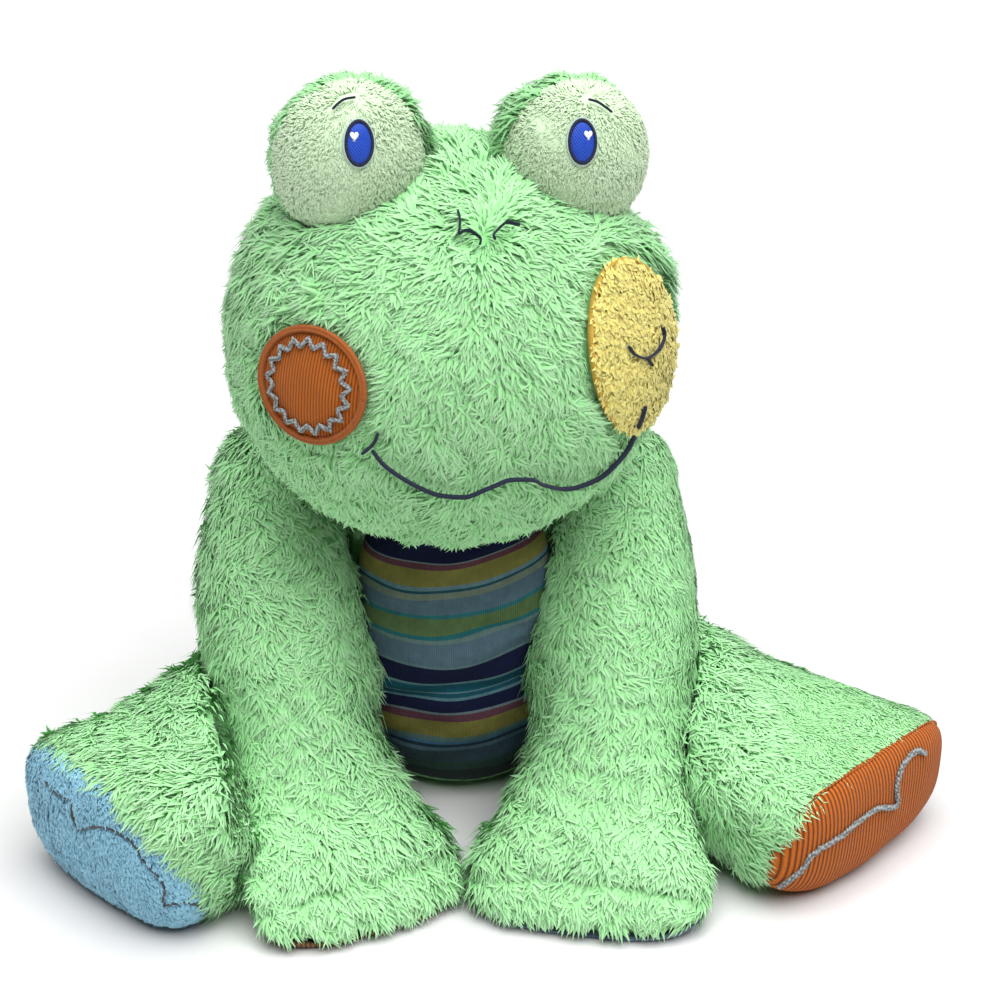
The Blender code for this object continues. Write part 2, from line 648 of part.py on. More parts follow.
def build_eye(side, name, head, head_pivot, fabrics):
    """The eye's fur dome, the pale patch on its front, its filling and its embroidery."""
    form = eye_form(side)
    seat = mesh_of(grown(head, GAP))
    inside = mesh_of(grown(form, -FUR_THICKNESS))
    front = (0, -EYE_FORWARD - PATCH_PLANE, 0)
    dome = less(mesh_of(form), inside, slab(front, (0, -1, 0)), seat)
    placed(name + "_eye_dome", in_head(dome), fabrics["fur"], head_pivot)
    seam = (0, -EYE_FORWARD - PATCH_PLANE - GAP, 0)
    patch = common(less(mesh_of(grown(form, -PANEL_RECESS)), inside), slab(seam, (0, -1, 0)))
    placed(name + "_eye_patch", in_head(less(patch, seat)), fabrics["fleece"], head_pivot)
    filling = less(mesh_of(grown(form, -FUR_THICKNESS - GAP)), seat)
    placed(name + "_eye_stuffing", in_head(filling), fabrics["fill"], head_pivot)
    low = GAP - PANEL_RECESS
    thread = layer(form, low + THREAD_HEIGHT, low)
    looking = facing((EYE_SIDE + side * EYE_SPACING / 2, -EYE_FORWARD, EYE_RISE), (0, -1, 0))
    pupil_outline = oval(PUPIL_WIDTH, PUPIL_HEIGHT, rise=PUPIL_RISE)
    pupil = common(thread, prism(pupil_outline, looking, 0, OVERRUN))
    placed(name + "_pupil", in_head(pupil), fabrics["blue"], head_pivot)
    over = low + THREAD_HEIGHT + GAP
    shine = layer(form, over + THREAD_HEIGHT / 2, over)
    shine_outline = oval(HIGHLIGHT_SIZE, HIGHLIGHT_SIZE, 8, side * HIGHLIGHT_OFFSET, PUPIL_RISE + HIGHLIGHT_OFFSET)
    highlight = common(shine, prism(shine_outline, looking, 0, OVERRUN))
    placed(name + "_eye_highlight", in_head(highlight), fabrics["white_thread"], head_pivot)
    bow_shares = ((-0.5, 0.0), (-0.25, 0.22), (0.0, 0.30), (0.25, 0.24), (0.5, 0.05))
    bow = [(across * BROW_LENGTH, BROW_RISE + up * BROW_LENGTH) for across, up in bow_shares]
    brow = common(thread, prism(stroke(bow, THREAD_WIDTH), looking, 0, OVERRUN))
    placed(name + "_brow_stitch", in_head(brow), fabrics["navy"], head_pivot)


def build_nostril(side, name, head, head_pivot, fabrics):
    """A hooked line of dark thread high on the muzzle."""
    hook_shares = ((-0.5, -0.5), (-0.55, -0.1), (-0.3, 0.3), (0.05, 0.5), (0.5, 0.42))
    hook = [(side * share * NOSTRIL_WIDTH, up * NOSTRIL_HEIGHT) for share, up in hook_shares]
    across = NOSTRIL_SIDE + side * NOSTRIL_SPACING / 2
    place = facing((across, 0, 0), (0, -math.cos(NOSTRIL_TILT), math.sin(NOSTRIL_TILT)))
    line = [(share, up + NOSTRIL_RISE) for share, up in hook]
    stitch = common(layer(head, GAP + THREAD_HEIGHT, GAP), prism(stroke(line, THREAD_WIDTH), place, 0, 2 * OVERRUN))
    placed(name + "_nostril_stitch", in_head(stitch), fabrics["navy"], head_pivot)


def build_mouth(head, head_pivot, fabrics):
    """One long smiling line with a bow in its middle, and a short tick across each end."""
    line_shares = ((-0.50, 0.00), (-0.45, -0.26), (-0.37, -0.52), (-0.29, -0.72), (-0.20, -0.81), (-0.12, -0.80),
                   (-0.06, -0.70), (0.02, -0.56), (0.08, -0.60), (0.13, -0.75), (0.21, -0.93), (0.29, -1.00),
                   (0.37, -0.97), (0.43, -0.86), (0.48, -0.62), (0.50, -0.40))
    line = [(MOUTH_SIDE + across * MOUTH_WIDTH, MOUTH_RISE + up * MOUTH_DROP) for across, up in line_shares]
    thread = layer(head, GAP + THREAD_HEIGHT, GAP)
    place = facing((0, 0, 0), (0, -1, 0))
    mouth = common(thread, prism(stroke(line, THREAD_WIDTH), place, 0, 2 * OVERRUN))
    placed("mouth_stitch", in_head(mouth), fabrics["navy"], head_pivot)
    start = Vector((MOUTH_SIDE - MOUTH_WIDTH / 2, MOUTH_RISE))
    lean = Vector((math.cos(TICK_LEAN), math.sin(TICK_LEAN))) * MOUTH_TICK / 2
    shift = Vector((-THREAD_WIDTH, THREAD_WIDTH / 2))
    tick_line = [tuple(start + shift - lean), tuple(start + shift), tuple(start + shift + lean)]
    reach = prism(stroke(tick_line, THREAD_WIDTH), place, 0, 2 * OVERRUN)
    tick = less(common(thread, reach), prism(stroke(line, THREAD_WIDTH + 2 * GAP), place, 0, 2 * OVERRUN))
    placed("right_mouth_tick", in_head(tick), fabrics["navy"], head_pivot)


def cheek_place(side, rise):
    out = (side * math.sin(CHEEK_TURN), -math.cos(CHEEK_TURN), 0)
    return facing((0, 0, rise), out)


def build_right_cheek(head, head_pivot, fabrics):
    """The ribbed round cheek: its patch, the padded border round it and the zigzag line on it."""
    place = cheek_place(RIGHT, RIGHT_CHEEK_RISE)
    inner_width = RIGHT_CHEEK_WIDTH - 2 * CHEEK_BORDER
    inner_height = RIGHT_CHEEK_HEIGHT - 2 * CHEEK_BORDER
    patch_layer = layer(head, GAP + PATCH_THICKNESS, GAP)
    patch_reach = prism(oval(inner_width - 2 * GAP, inner_height - 2 * GAP), place, 0, 2 * OVERRUN)
    placed("right_cheek_patch", in_head(common(patch_layer, patch_reach)), fabrics["orange"], head_pivot)
    edge = prism(oval(RIGHT_CHEEK_WIDTH, RIGHT_CHEEK_HEIGHT), place, 0, 2 * OVERRUN)
    border_layer = layer(head, GAP + BORDER_HEIGHT, GAP)
    hole = prism(oval(inner_width, inner_height), place, 0, 2 * OVERRUN)
    border = less(common(border_layer, edge), hole)
    placed("right_cheek_border", in_head(border), fabrics["orange_thread"], head_pivot)
    low = GAP + PATCH_THICKNESS + GAP
    ring_width = inner_width - 2 * ZIGZAG_INSET
    ring_height = inner_height - 2 * ZIGZAG_INSET
    turns = np.linspace(0, 2 * math.pi, 2 * ZIGZAG_TEETH, endpoint=False)
    outer, inner = [], []
    for index, turn in enumerate(turns):
        swing = ZIGZAG_SWING if index % 2 else -ZIGZAG_SWING
        for rim, offset in ((outer, THREAD_WIDTH / 2), (inner, -THREAD_WIDTH / 2)):
            rim.append(((ring_width / 2 + swing + offset) * math.cos(turn),
                        (ring_height / 2 + swing + offset) * math.sin(turn)))
    zig_layer = layer(head, low + THREAD_HEIGHT / 2, low)
    zigzag = less(common(zig_layer, prism(outer, place, 0, 2 * OVERRUN)), prism(inner, place, 0, 2 * OVERRUN))
    placed("right_cheek_zigzag", in_head(zigzag), fabrics["grey_thread"], head_pivot)


def build_left_cheek(head, head_pivot, fabrics):
    """The larger fleecy cheek: its patch, its satin border and its dimple."""
    place = cheek_place(LEFT, LEFT_CHEEK_RISE)
    inner_width = LEFT_CHEEK_WIDTH - 2 * CHEEK_BORDER
    inner_height = LEFT_CHEEK_HEIGHT - 2 * CHEEK_BORDER
    patch_reach = prism(oval(inner_width - 2 * GAP, inner_height - 2 * GAP), place, 0, 2 * OVERRUN)
    patch = common(layer(head, GAP + PATCH_THICKNESS, GAP), patch_reach)
    placed("left_cheek_patch", in_head(patch), fabrics["yellow"], head_pivot)
    edge = prism(oval(LEFT_CHEEK_WIDTH, LEFT_CHEEK_HEIGHT), place, 0, 2 * OVERRUN)
    hole = prism(oval(inner_width, inner_height), place, 0, 2 * OVERRUN)
    border = less(common(layer(head, GAP + BORDER_HEIGHT, GAP), edge), hole)
    placed("left_cheek_border", in_head(border), fabrics["gold_thread"], head_pivot)
    smile_shares = ((-0.5, 0.6), (-0.3, -0.1), (-0.05, -0.5), (0.2, -0.35), (0.4, 0.2), (0.5, 0.9))
    smile = [(across * DIMPLE_WIDTH, up * DIMPLE_DROP) for across, up in smile_shares]
    low = GAP + PATCH_THICKNESS + GAP
    dimple = common(layer(head, low + THREAD_HEIGHT, low), prism(stroke(smile, THREAD_WIDTH), place, 0, 2 * OVERRUN))
    placed("left_cheek_dimple", in_head(dimple), fabrics["navy"], head_pivot)


def swings(centre, axis, reach):
    """The turns about a joint that bring what stands still to where a swinging limb meets it."""
    there, back = Matrix.Translation(centre), Matrix.Translation(-centre)
    return [there @ Matrix.Rotation(-angle, 4, axis) @ back for angle in np.linspace(0, reach, SWEEP_STEPS)]


def arm_swings(side):
    return swings(shoulder_at(side), Vector((-1, 0, 0)), ARM_RAISE)


def leg_swings(side):
    return swings(hip_at(side), Vector((0, 0, side)), LEG_SPLAY)


def swept(form, turns):
    """One convex cutter round all the places that a form passes through."""
    made = bmesh.new()
    for turn in turns:
        for point in form[0]:
            made.verts.new(turn @ Vector(point))
    found = bmesh.ops.convex_hull(made, input=made.verts)
    spare = {piece for piece in (*found["geom_interior"], *found["geom_unused"]) if isinstance(piece, bmesh.types.BMVert)}
    bmesh.ops.delete(made, geom=list(spare), context="VERTS")
    mesh = bpy.data.meshes.new("swept")
    made.to_mesh(mesh)
    made.free()
    return mesh


def clear_of_body(limb, depth, centre, radius, axis, turns):
    """The limb without what the body takes in its whole swing, except round the limb's own ball."""
    room = mesh_of(ball(centre, radius - depth, axis))
    return less(limb, less(swept(grown(body_form(), SWING_CLEARANCE + depth), turns), room))


def arm_solid(side, depth):
    arm = mesh_of(grown(arm_form(side), -depth))
    return clear_of_body(arm, depth, shoulder_at(side), SHOULDER_RADIUS, (1, 0, 0), arm_swings(side))


def build_arm(side, name, pivot, fabrics):
    centre = shoulder_at(side)
    outside = less(arm_solid(side, 0), floor_cut())
    inside = arm_solid(side, FUR_THICKNESS)
    seam = (centre.x, -ARM_REACH, PALM_HEIGHT)
    shell = less(outside, inside, slab(seam, (0, 0, -1), 2 * OVERRUN))
    placed(name + "_arm_shell", from_pivot(shell, centre), fabrics["fur"], pivot)
    palm_seam = (centre.x, -ARM_REACH, PALM_HEIGHT - GAP)
    palm = common(less(outside, inside), slab(palm_seam, (0, 0, -1), 2 * OVERRUN))
    placed(name + "_palm_panel", from_pivot(palm, centre), fabrics[name + "_palm"], pivot)
    filling = arm_solid(side, FUR_THICKNESS + GAP)
    placed(name + "_arm_stuffing", from_pivot(filling, centre), fabrics["fill"], pivot)


def leg_solid(side, depth):
    """A leg at a depth, clear of the body and of the arm in its whole swing and the arm's."""
    leg = mesh_of(grown(leg_form(side), -depth))
    leg = clear_of_body(leg, depth, hip_at(side), HIP_RADIUS, (0, 0, 1), leg_swings(side))
    turns = [splayed @ raised.inverted() for splayed in leg_swings(side) for raised in arm_swings(side)]
    return less(leg, swept(grown(arm_form(side), SWING_CLEARANCE + depth), turns))


def build_leg(side, name, pivot, fabrics):
    centre = hip_at(side)
    foot_width = RIGHT_FOOT_WIDTH if side == RIGHT else LEFT_FOOT_WIDTH
    foot_height = RIGHT_FOOT_HEIGHT if side == RIGHT else LEFT_FOOT_HEIGHT
    sole_seam = RIGHT_SOLE_SEAM if side == RIGHT else LEFT_SOLE_SEAM
    out, sole_out, aside = leg_directions(side)
    outward = sole_out * math.cos(SOLE_LEAN) - Vector((0, 0, 1)) * math.sin(SOLE_LEAN)
    seam = centre + out + sole_out * sole_seam
    seam.z = foot_height
    inside = leg_solid(side, FUR_THICKNESS)
    skin = less(leg_solid(side, 0), inside, floor_cut())
    shell = less(skin, slab(seam, outward, 2 * OVERRUN))
    placed(name + "_leg_shell", from_pivot(shell, centre), fabrics["fur"], pivot)
    edge = seam + outward * GAP
    sole = common(skin, slab(edge, outward, 2 * OVERRUN))
    placed(name + "_sole_panel", from_pivot(sole, centre), fabrics[name + "_sole"], pivot)
    filling = leg_solid(side, FUR_THICKNESS + GAP)
    placed(name + "_leg_stuffing", from_pivot(filling, centre), fabrics["fill"], pivot)
    toes = centre + out
    toes.z = foot_height - TOE_LINE_DROP
    place = facing(toes, sole_out)
    line = []
    for share in np.linspace(-0.5, 0.5, 6 * TOE_COUNT + 1):
        scallop = abs(math.sin(math.pi * TOE_COUNT * (share + 0.5)))
        line.append((share * (foot_width - 4 * SOLE_BULGE / 3), (scallop - 1) * TOE_LINE_SWING))
    reach = prism(stroke(line, THREAD_WIDTH), place, 0, OVERRUN)
    stitch = common(layer(leg_form(side), GAP + THREAD_HEIGHT, GAP), reach)
    placed(name + "_sole_stitch", from_pivot(stitch, centre), fabrics["grey_thread"], pivot)


def frog_fabrics():
    return {
        "fur": fabric("green_fur", FUR_GREEN),
        "fleece": fabric("pale_fleece", PALE_FLEECE),
        "stripes": fabric("striped_jersey", STRIPE_TEAL, 0.8),
        "fill": fabric("polyester_fill", FILL_WHITE),
        "linen": fabric("bean_bag_cloth", LINEN),
        "navy": fabric("navy_thread", NAVY, 0.5),
        "blue": fabric("blue_thread", BLUE, 0.45),
        "white_thread": fabric("white_thread", STITCH_WHITE, 0.5),
        "grey_thread": fabric("grey_thread", GREY_THREAD, 0.6),
        "orange": fabric("orange_corduroy", ORANGE, 0.85),
        "orange_thread": fabric("orange_thread", ORANGE, 0.5),
        "yellow": fabric("yellow_sherpa", YELLOW),
        "gold_thread": fabric("gold_thread", GOLD, 0.5),
        "left_sole": fabric("sole_corduroy", ORANGE, 0.85),
        "right_sole": fabric("blue_terry", TERRY_BLUE),
        "right_palm": fabric("palm_corduroy", ORANGE, 0.85),
        "left_palm": fabric("slate_cloth", SLATE, 0.85),
    }


def main():
    clear_scene()
    fabrics = frog_fabrics()
    root = pivot_at("frog", (0, 0, 0))
    build_body(root, fabrics)
    neck_pivot = pivot_at("neck_pivot", (NECK_SIDE, -NECK_FORWARD, NECK_HEIGHT), root, HEAD_TURN_AT_REST)
    build_neck(neck_pivot, fabrics)
    head_pivot = pivot_at("head_pivot", (0, 0, 0), neck_pivot, 0, HEAD_ROLL_AT_REST)
    build_head(head_pivot, fabrics)
    for side, name in ((RIGHT, "right"), (LEFT, "left")):
        shoulder = pivot_at(name + "_shoulder_pivot", shoulder_at(side), root)
        build_arm(side, name, shoulder, fabrics)
        hip = pivot_at(name + "_hip_pivot", hip_at(side), root)
        build_leg(side, name, hip, fabrics)


main()
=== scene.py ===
"""A sitting plush frog in long green pile, with a striped jersey belly, patched cheeks and embroidered face.

Every piece is a surface worked out from the same named sizes as the part's own solids. Metres, +Z up, the frog
faces -Y and its own left side is at +X. Stuffed parts are a closed backing cloth, three millimetres under the middle
of the pile, with locks of pile rooted on it.
"""

import math

import bpy
import numpy as np
from mathutils import Matrix, Vector


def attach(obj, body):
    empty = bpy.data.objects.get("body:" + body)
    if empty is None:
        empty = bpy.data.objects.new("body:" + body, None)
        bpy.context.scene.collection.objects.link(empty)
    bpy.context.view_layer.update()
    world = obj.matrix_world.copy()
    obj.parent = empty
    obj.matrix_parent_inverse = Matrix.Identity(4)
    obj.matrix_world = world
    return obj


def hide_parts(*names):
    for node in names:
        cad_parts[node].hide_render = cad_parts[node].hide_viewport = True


bl_info = {
    "name": "Plush frog",
    "version": (1, 0, 0),
    "blender": (4, 5, 0),
    "location": "3D View > Sidebar > Plush frog",
    "description": "Dresses a plush frog in pile, cloth panels and embroidery",
    "category": "Add Mesh",
}

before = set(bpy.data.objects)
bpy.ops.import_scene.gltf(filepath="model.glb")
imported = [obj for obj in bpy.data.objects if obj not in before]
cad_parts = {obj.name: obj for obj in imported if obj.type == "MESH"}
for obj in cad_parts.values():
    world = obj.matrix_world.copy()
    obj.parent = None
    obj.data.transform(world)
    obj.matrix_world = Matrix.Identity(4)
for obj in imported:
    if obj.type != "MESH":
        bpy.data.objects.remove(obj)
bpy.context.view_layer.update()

# Fabrics
PANEL_RECESS = 0.0018
CLOTH_THICKNESS, PALM_THICKNESS, PALM_INSET, SOLE_INSET = 0.0012, 0.0010, 0.0012, 0.0004
PRESSED_FLAT = 0.0005
SWING_CLEARANCE = 0.0009
FLOOR_LIFT = 0.0004

# Body
BODY_WIDTH, BODY_DEPTH, BODY_HEIGHT = 0.102, 0.098, 0.144
BODY_LEAN = 0.012
BODY_FULLNESS_SHARE = 0.85
PEAR_SHARE = 0.20
SEAT_TILT = math.radians(-62)
BELLY_WIDTH, BELLY_TOP, BELLY_BOTTOM = 0.078, 0.122, 0.010
BELLY_MIDDLE, BELLY_HALF = (BELLY_TOP + BELLY_BOTTOM) / 2, (BELLY_TOP - BELLY_BOTTOM) / 2
BELLY_SPREAD, BELLY_CORNERS, BELLY_DROP = 1.06, 2.9, 0.0085
CREASE_ROOM, PILE_OVERLAP = 0.0035, 0.001

# Neck and head
NECK = Vector((-0.0057, -0.018, 0.117))
NECK_RADIUS = 0.020
HEAD_WIDTH, HEAD_DEPTH, HEAD_HEIGHT = 0.151, 0.127, 0.137
HEAD_CENTRE = Vector((-0.004, -0.022, 0.064))
HEAD_CLEARANCE = 0.0065
HEAD_TILT = math.radians(25)
CROWN = np.array((0.0, -0.045, 0.052))
HEAD_TURN_AT_REST = math.radians(13)
HEAD_ROLL_AT_REST = math.radians(3.5)

# Eyes
EYE_SPACING, EYE_SIDE, EYE_RISE, EYE_FORWARD = 0.074, -0.0016, 0.0655, 0.0075
EYE_WIDTH, EYE_DEPTH, EYE_HEIGHT = 0.050, 0.039, 0.053
PATCH_PLANE, FLEECE_DEPTH, DOME_DEPTH_SHARE = 0.004, 0.0010, 0.8

# Arms and legs
SHOULDER_SPREAD, SHOULDER_SIDE, SHOULDER_HEIGHT, SHOULDER_RADIUS = 0.0600, -0.0025, 0.110, 0.0245
ARM_RAISE = math.radians(24)
ARM_WIDTH, WRIST_WIDTH = 0.061, 0.052
FLIPPER_THICKNESS, TOE_THICKNESS, TOE_ROUNDING, TOE_BLUNTNESS_SHARE = 0.030, 0.017, 0.016, 0.62
ARM_REACH = 0.111
PALM_HEIGHT = 0.0058
HIP_SPREAD, HIP_BACK, HIP_RADIUS = 0.062, 0.006, 0.0310
LEG_SPLAY = math.radians(24)
LEG_WIDTH, FOOT_LEAN = 0.061, math.radians(4)
SOLE_BULGE, SOLE_BLUNTNESS_SHARE, SOLE_LEAN = 0.017, 0.55, math.radians(27)
FACETS_OF_SOLID = 12

# Pile: how far combed locks hang, the seeds of its chance, and what is short has sizes of its own
HANG, HANG_OF_EYES, HANG_OF_LOOPS = np.array((0, 0, -0.45)), np.array((0.0, 0.5, -0.6)), np.array((0.4, 0, -1))
BODY_COMB, BODY_COMB_FORWARD, ARM_SAG = 8.75, -0.0001, 0.35
SEEDS = {"body": 11, "head": 41, "eye": 51, "fleece": 55, "curls": 75, "arm": 81, "leg": 91, "loops": 105}
FORM_SEEDS = {"creases": 21, "fine creases": 22, "head": 31, "fleece": 61, "curls": 71, "ribbed": 72, "sole": 101,
              "dimples": 103}
SHORT_PILES = {
    "fleece": {"length": 0.0022, "width": 0.0007, "density": 330, "lift": 40, "mess": 0.15},
    "curls": {"length": 0.0030, "width": 0.0019, "density": 230, "lift": 32, "mess": 1.0},
    "loops": {"length": 0.0021, "width": 0.0008, "density": 360, "lift": 42, "mess": 0.25},
}
HEAD_DENSITY, EYE_DENSITY = 200, 220
# Sewn lines: how tall their threads are, and how far the smaller ones lie above what carries them
TALL = {"face": 0.0018, "cheek": 0.0016, "edge": 0.0028, "ring": 0.0009, "brow": 0.0010, "toe": 0.0010}
ABOVE = {"cheek": 0.0024, "edge": 0.0001, "zigzag": 0.0011, "brow": 0.0008, "braid": 0.0007, "toe": 0.0006}

RIGHT, LEFT = -1, 1
SIDES = ((RIGHT, "right"), (LEFT, "left"))
FLIPPER = {RIGHT: (0.033, 0.074), LEFT: (0.0495, 0.082)}
LEG = {
    RIGHT: {"turn": math.radians(26), "bow": 0.012, "reach": 0.115, "height": 0.066, "foot": 0.087,
            "foot_height": 0.058, "seam": 0.0130},
    LEFT: {"turn": math.radians(43), "bow": 0.002, "reach": 0.109, "height": 0.059, "foot": 0.096,
           "foot_height": 0.052, "seam": 0.0135},
}


def linear(red, green, blue):
    """A colour as the eye reads it, 0 to 255, turned into the amounts of light that a shader wants."""
    shown = np.array((red, green, blue)) / 255
    light = np.where(shown <= 0.04045, shown / 12.92, ((shown + 0.055) / 1.055) ** 2.4)
    return tuple(float(part) for part in light)


# Smooth forms as arrays


def ripple(points, size, seed):
    """Smooth unevenness from about -1 to 1: six sines along random directions, added up."""
    chance = np.random.default_rng(seed)
    waves = points @ chance.normal(size=(3, 6)) * (2 * math.pi / size / 1.7)
    return np.sin(waves + chance.uniform(0, 2 * math.pi, 6)).sum(-1) / 3


def unit(vectors):
    return vectors / np.maximum(np.linalg.norm(vectors, axis=-1, keepdims=True), 1e-12)


def rising(values, start, over):
    """Nothing up to the start, one from the start plus over, and evenly between."""
    return ((values - start) / over).clip(0, 1)


def bell(values, middle, spread):
    return np.exp(-((values - middle) / spread) ** 2)


def circle(count):
    """Turns that go evenly once round."""
    return np.linspace(0, 2 * math.pi, count, endpoint=False)


def lengths_along(path):
    """How far along a path each of its points is."""
    return np.concatenate(((0,), np.cumsum(np.linalg.norm(np.diff(path, axis=0), axis=1))))


def grid_triangles(rows, columns, around=True):
    """Two triangles for each field of a grid, each row joined round to its start where it goes around."""
    row = np.arange(rows - 1)[:, None] * columns
    column = np.arange(columns if around else columns - 1)[None, :]
    after = (column + 1) % columns
    corners = (row + column, row + after, row + columns + after, row + columns + column)
    quads = np.stack(np.broadcast_arrays(*corners), -1).reshape(-1, 4)
    return np.vstack((quads[:, (0, 1, 2)], quads[:, (0, 2, 3)]))


def fan_triangles(columns, centre):
    """Triangles from a centre to a grid's first row, wound as the grid is."""
    here = np.arange(columns)
    return np.stack(((here + 1) % columns, here, np.full(columns, centre)), -1)


def disc_triangles(rings, spokes):
    """A disc of rings round a middle point, which is the last one."""
    return np.vstack((grid_triangles(rings, spokes), fan_triangles(spokes, rings * spokes)))


def crossed(points, faces):
    """Two edges of each triangle crossed: along its normal, and twice its area long."""
    corners = points[faces]
    return np.cross(corners[:, 1] - corners[:, 0], corners[:, 2] - corners[:, 0])


def looking(points, faces, way):
    """The triangles of an open surface, turned round where together they look against the way."""
    return faces if crossed(points, faces).sum(0) @ way > 0 else faces[:, ::-1]


def closed_form(rings, first_pole, last_pole):
    """Rings of equally many points with a pole at each end, as points and triangles that face outwards."""
    rows, columns = rings.shape[:2]
    points = np.vstack((rings.reshape(-1, 3), first_pole, last_pole))
    start = fan_triangles(columns, rows * columns)
    end = fan_triangles(columns, columns + 1)[:, (1, 0, 2)] + (rows - 1) * columns
    return points, outward_faces(points, np.vstack((grid_triangles(rows, columns), start, end)))


def outward_faces(points, faces):
    """The triangles, turned round where together they enclose a negative volume."""
    corners = points[faces]
    volume = np.einsum("ij,ij->i", corners[:, 0], np.cross(corners[:, 1], corners[:, 2])).sum()
    return faces if volume > 0 else faces[:, ::-1]


def normals_of(form):
    """The points' normals: the crossed edges of the faces round each, added up."""
    points, faces = form
    normals = np.zeros_like(points)
    for corner in range(3):
        np.add.at(normals, faces[:, corner], crossed(points, faces))
    return unit(normals)


def grown(form, distance):
    return form[0] + normals_of(form) * distance, form[1]


def above_floor(points):
    """The points, none of them lower than cloth lies on the floor."""
    return np.concatenate((points[..., :2], np.maximum(points[..., 2:], FLOOR_LIFT)), -1)


def smooth_line(stations, at):
    """A curve through the stations, each a row of values, by cubic pieces with matching slopes."""
    rows = np.array(stations, dtype=float)
    slopes = np.gradient(rows, axis=0)
    first = np.minimum(at.astype(int), len(rows) - 2)
    share = (at - first)[:, None]
    start, end = rows[first], rows[first + 1]
    leave, arrive = slopes[first], slopes[first + 1]
    return ((2 * share ** 3 - 3 * share ** 2 + 1) * start + (share ** 3 - 2 * share ** 2 + share) * leave
            + (3 * share ** 2 - 2 * share ** 3) * end + (share ** 3 - share ** 2) * arrive)


def even_line(stations, count, closed=False):
    """The smooth curve through the stations at points that lie evenly along it."""
    rows = np.array(stations, dtype=float)
    if closed:
        rows = np.vstack((rows[-2:], rows, rows[:3]))
        fine = smooth_line(rows, np.linspace(2, len(rows) - 3, 40 * len(rows)))
    else:
        fine = smooth_line(rows, np.linspace(0, len(rows) - 1, 40 * len(rows)))
    steps = lengths_along(fine)
    wanted = np.linspace(0, steps[-1], count, endpoint=not closed)
    return np.stack([np.interp(wanted, steps, fine[:, part]) for part in range(fine.shape[1])], -1)


# The frog's own forms


def body_section(height):
    """Half width, half depth and middle of the body's oval at a height: a pear that leans forward."""
    rise = np.clip((height + PRESSED_FLAT) / BODY_HEIGHT, 0, 1)
    sine = rise * (1 - math.sin(SEAT_TILT)) + math.sin(SEAT_TILT)
    share = np.sqrt(np.maximum(1 - sine ** 2, 1e-9)) ** BODY_FULLNESS_SHARE
    share = share * (1 - PEAR_SHARE * sine) / (1 + PEAR_SHARE / 4)
    return share * BODY_WIDTH / 2, share * BODY_DEPTH / 2, -BODY_LEAN * rise


def in_body(points, reach=1.0, margin=0.001):
    """Which points lie inside the body's ovals, widened by the margin, out to a share of their reach."""
    wide, deep, middle = body_section(points[:, 2])
    out = np.hypot(points[:, 0] / (wide + margin), (points[:, 1] - middle) / (deep + margin))
    return (out < reach) & (points[:, 2] < BODY_HEIGHT)


def belly_half_width(up, margin=0.0):
    """Half the jersey's width at a share of its half height: less towards the top."""
    return (BELLY_SPREAD * BELLY_WIDTH / 2 - margin) * (1 - PEAR_SHARE / 2 * up)


def body_form(rings=70, around=112):
    """The body's ovals from the flat seat to the top, evenly spaced in tilt."""
    tilt = np.linspace(SEAT_TILT, math.pi / 2, rings + 1)[:-1]
    height = BODY_HEIGHT * (np.sin(tilt) - math.sin(SEAT_TILT)) / (1 - math.sin(SEAT_TILT)) - PRESSED_FLAT
    wide, deep, middle = body_section(height)
    turn = circle(around)
    rows = np.stack((np.outer(wide, np.cos(turn)), middle[:, None] + np.outer(deep, np.sin(turn)),
                     np.repeat(height[:, None], around, 1)), -1)
    # the flat seat as rings of its own, so that its faces are as small as the others
    inward = np.linspace(0.12, 1, 12)[:-1]
    seat = rows[0][None] * np.stack((inward, inward, np.ones_like(inward)), -1)[:, None, :]
    rows = np.concatenate((seat, rows))
    return closed_form(rows, (0, 0, -PRESSED_FLAT), (0, -BODY_LEAN, BODY_HEIGHT - PRESSED_FLAT))


HEAD_TILTED = np.array(Matrix.Rotation(-HEAD_TILT, 3, "X"))
HEAD_HALVES = np.array((HEAD_WIDTH, HEAD_DEPTH, HEAD_HEIGHT)) / 2
EYE_HALVES = np.array((EYE_WIDTH, EYE_DEPTH, EYE_HEIGHT)) / 2
HEAD_TO_FROG = np.array(Matrix.Translation(NECK) @ Matrix.Rotation(HEAD_TURN_AT_REST, 4, "Z")
                        @ Matrix.Rotation(HEAD_ROLL_AT_REST, 4, "Y") @ Matrix.Translation(HEAD_CENTRE))


def to_frog(points):
    """Places in the head's own directions, in the frog's."""
    return points @ HEAD_TO_FROG[:3, :3].T + HEAD_TO_FROG[:3, 3]


def turned_to_frog(directions):
    return directions @ HEAD_TO_FROG[:3, :3].T


def to_head(points):
    return (points - HEAD_TO_FROG[:3, 3]) @ HEAD_TO_FROG[:3, :3]


def egg_form(halves, turned, centre, rings, around):
    """An egg: circles of cos(tilt) at heights of sin(tilt), times its three halves, turned and placed."""
    tilt = np.linspace(-math.pi / 2, math.pi / 2, rings + 2)[1:-1, None]
    turn = circle(around)[None, :]
    rows = np.stack((np.cos(tilt) * np.cos(turn), np.cos(tilt) * np.sin(turn), np.sin(tilt) * np.ones_like(turn)), -1)
    end = np.array((0, 0, 1.0)) * halves
    return closed_form((rows * halves) @ turned.T + centre, -end @ turned.T + centre, end @ turned.T + centre)


def eye_centre(side):
    return np.array((EYE_SIDE + side * EYE_SPACING / 2, -EYE_FORWARD, EYE_RISE))


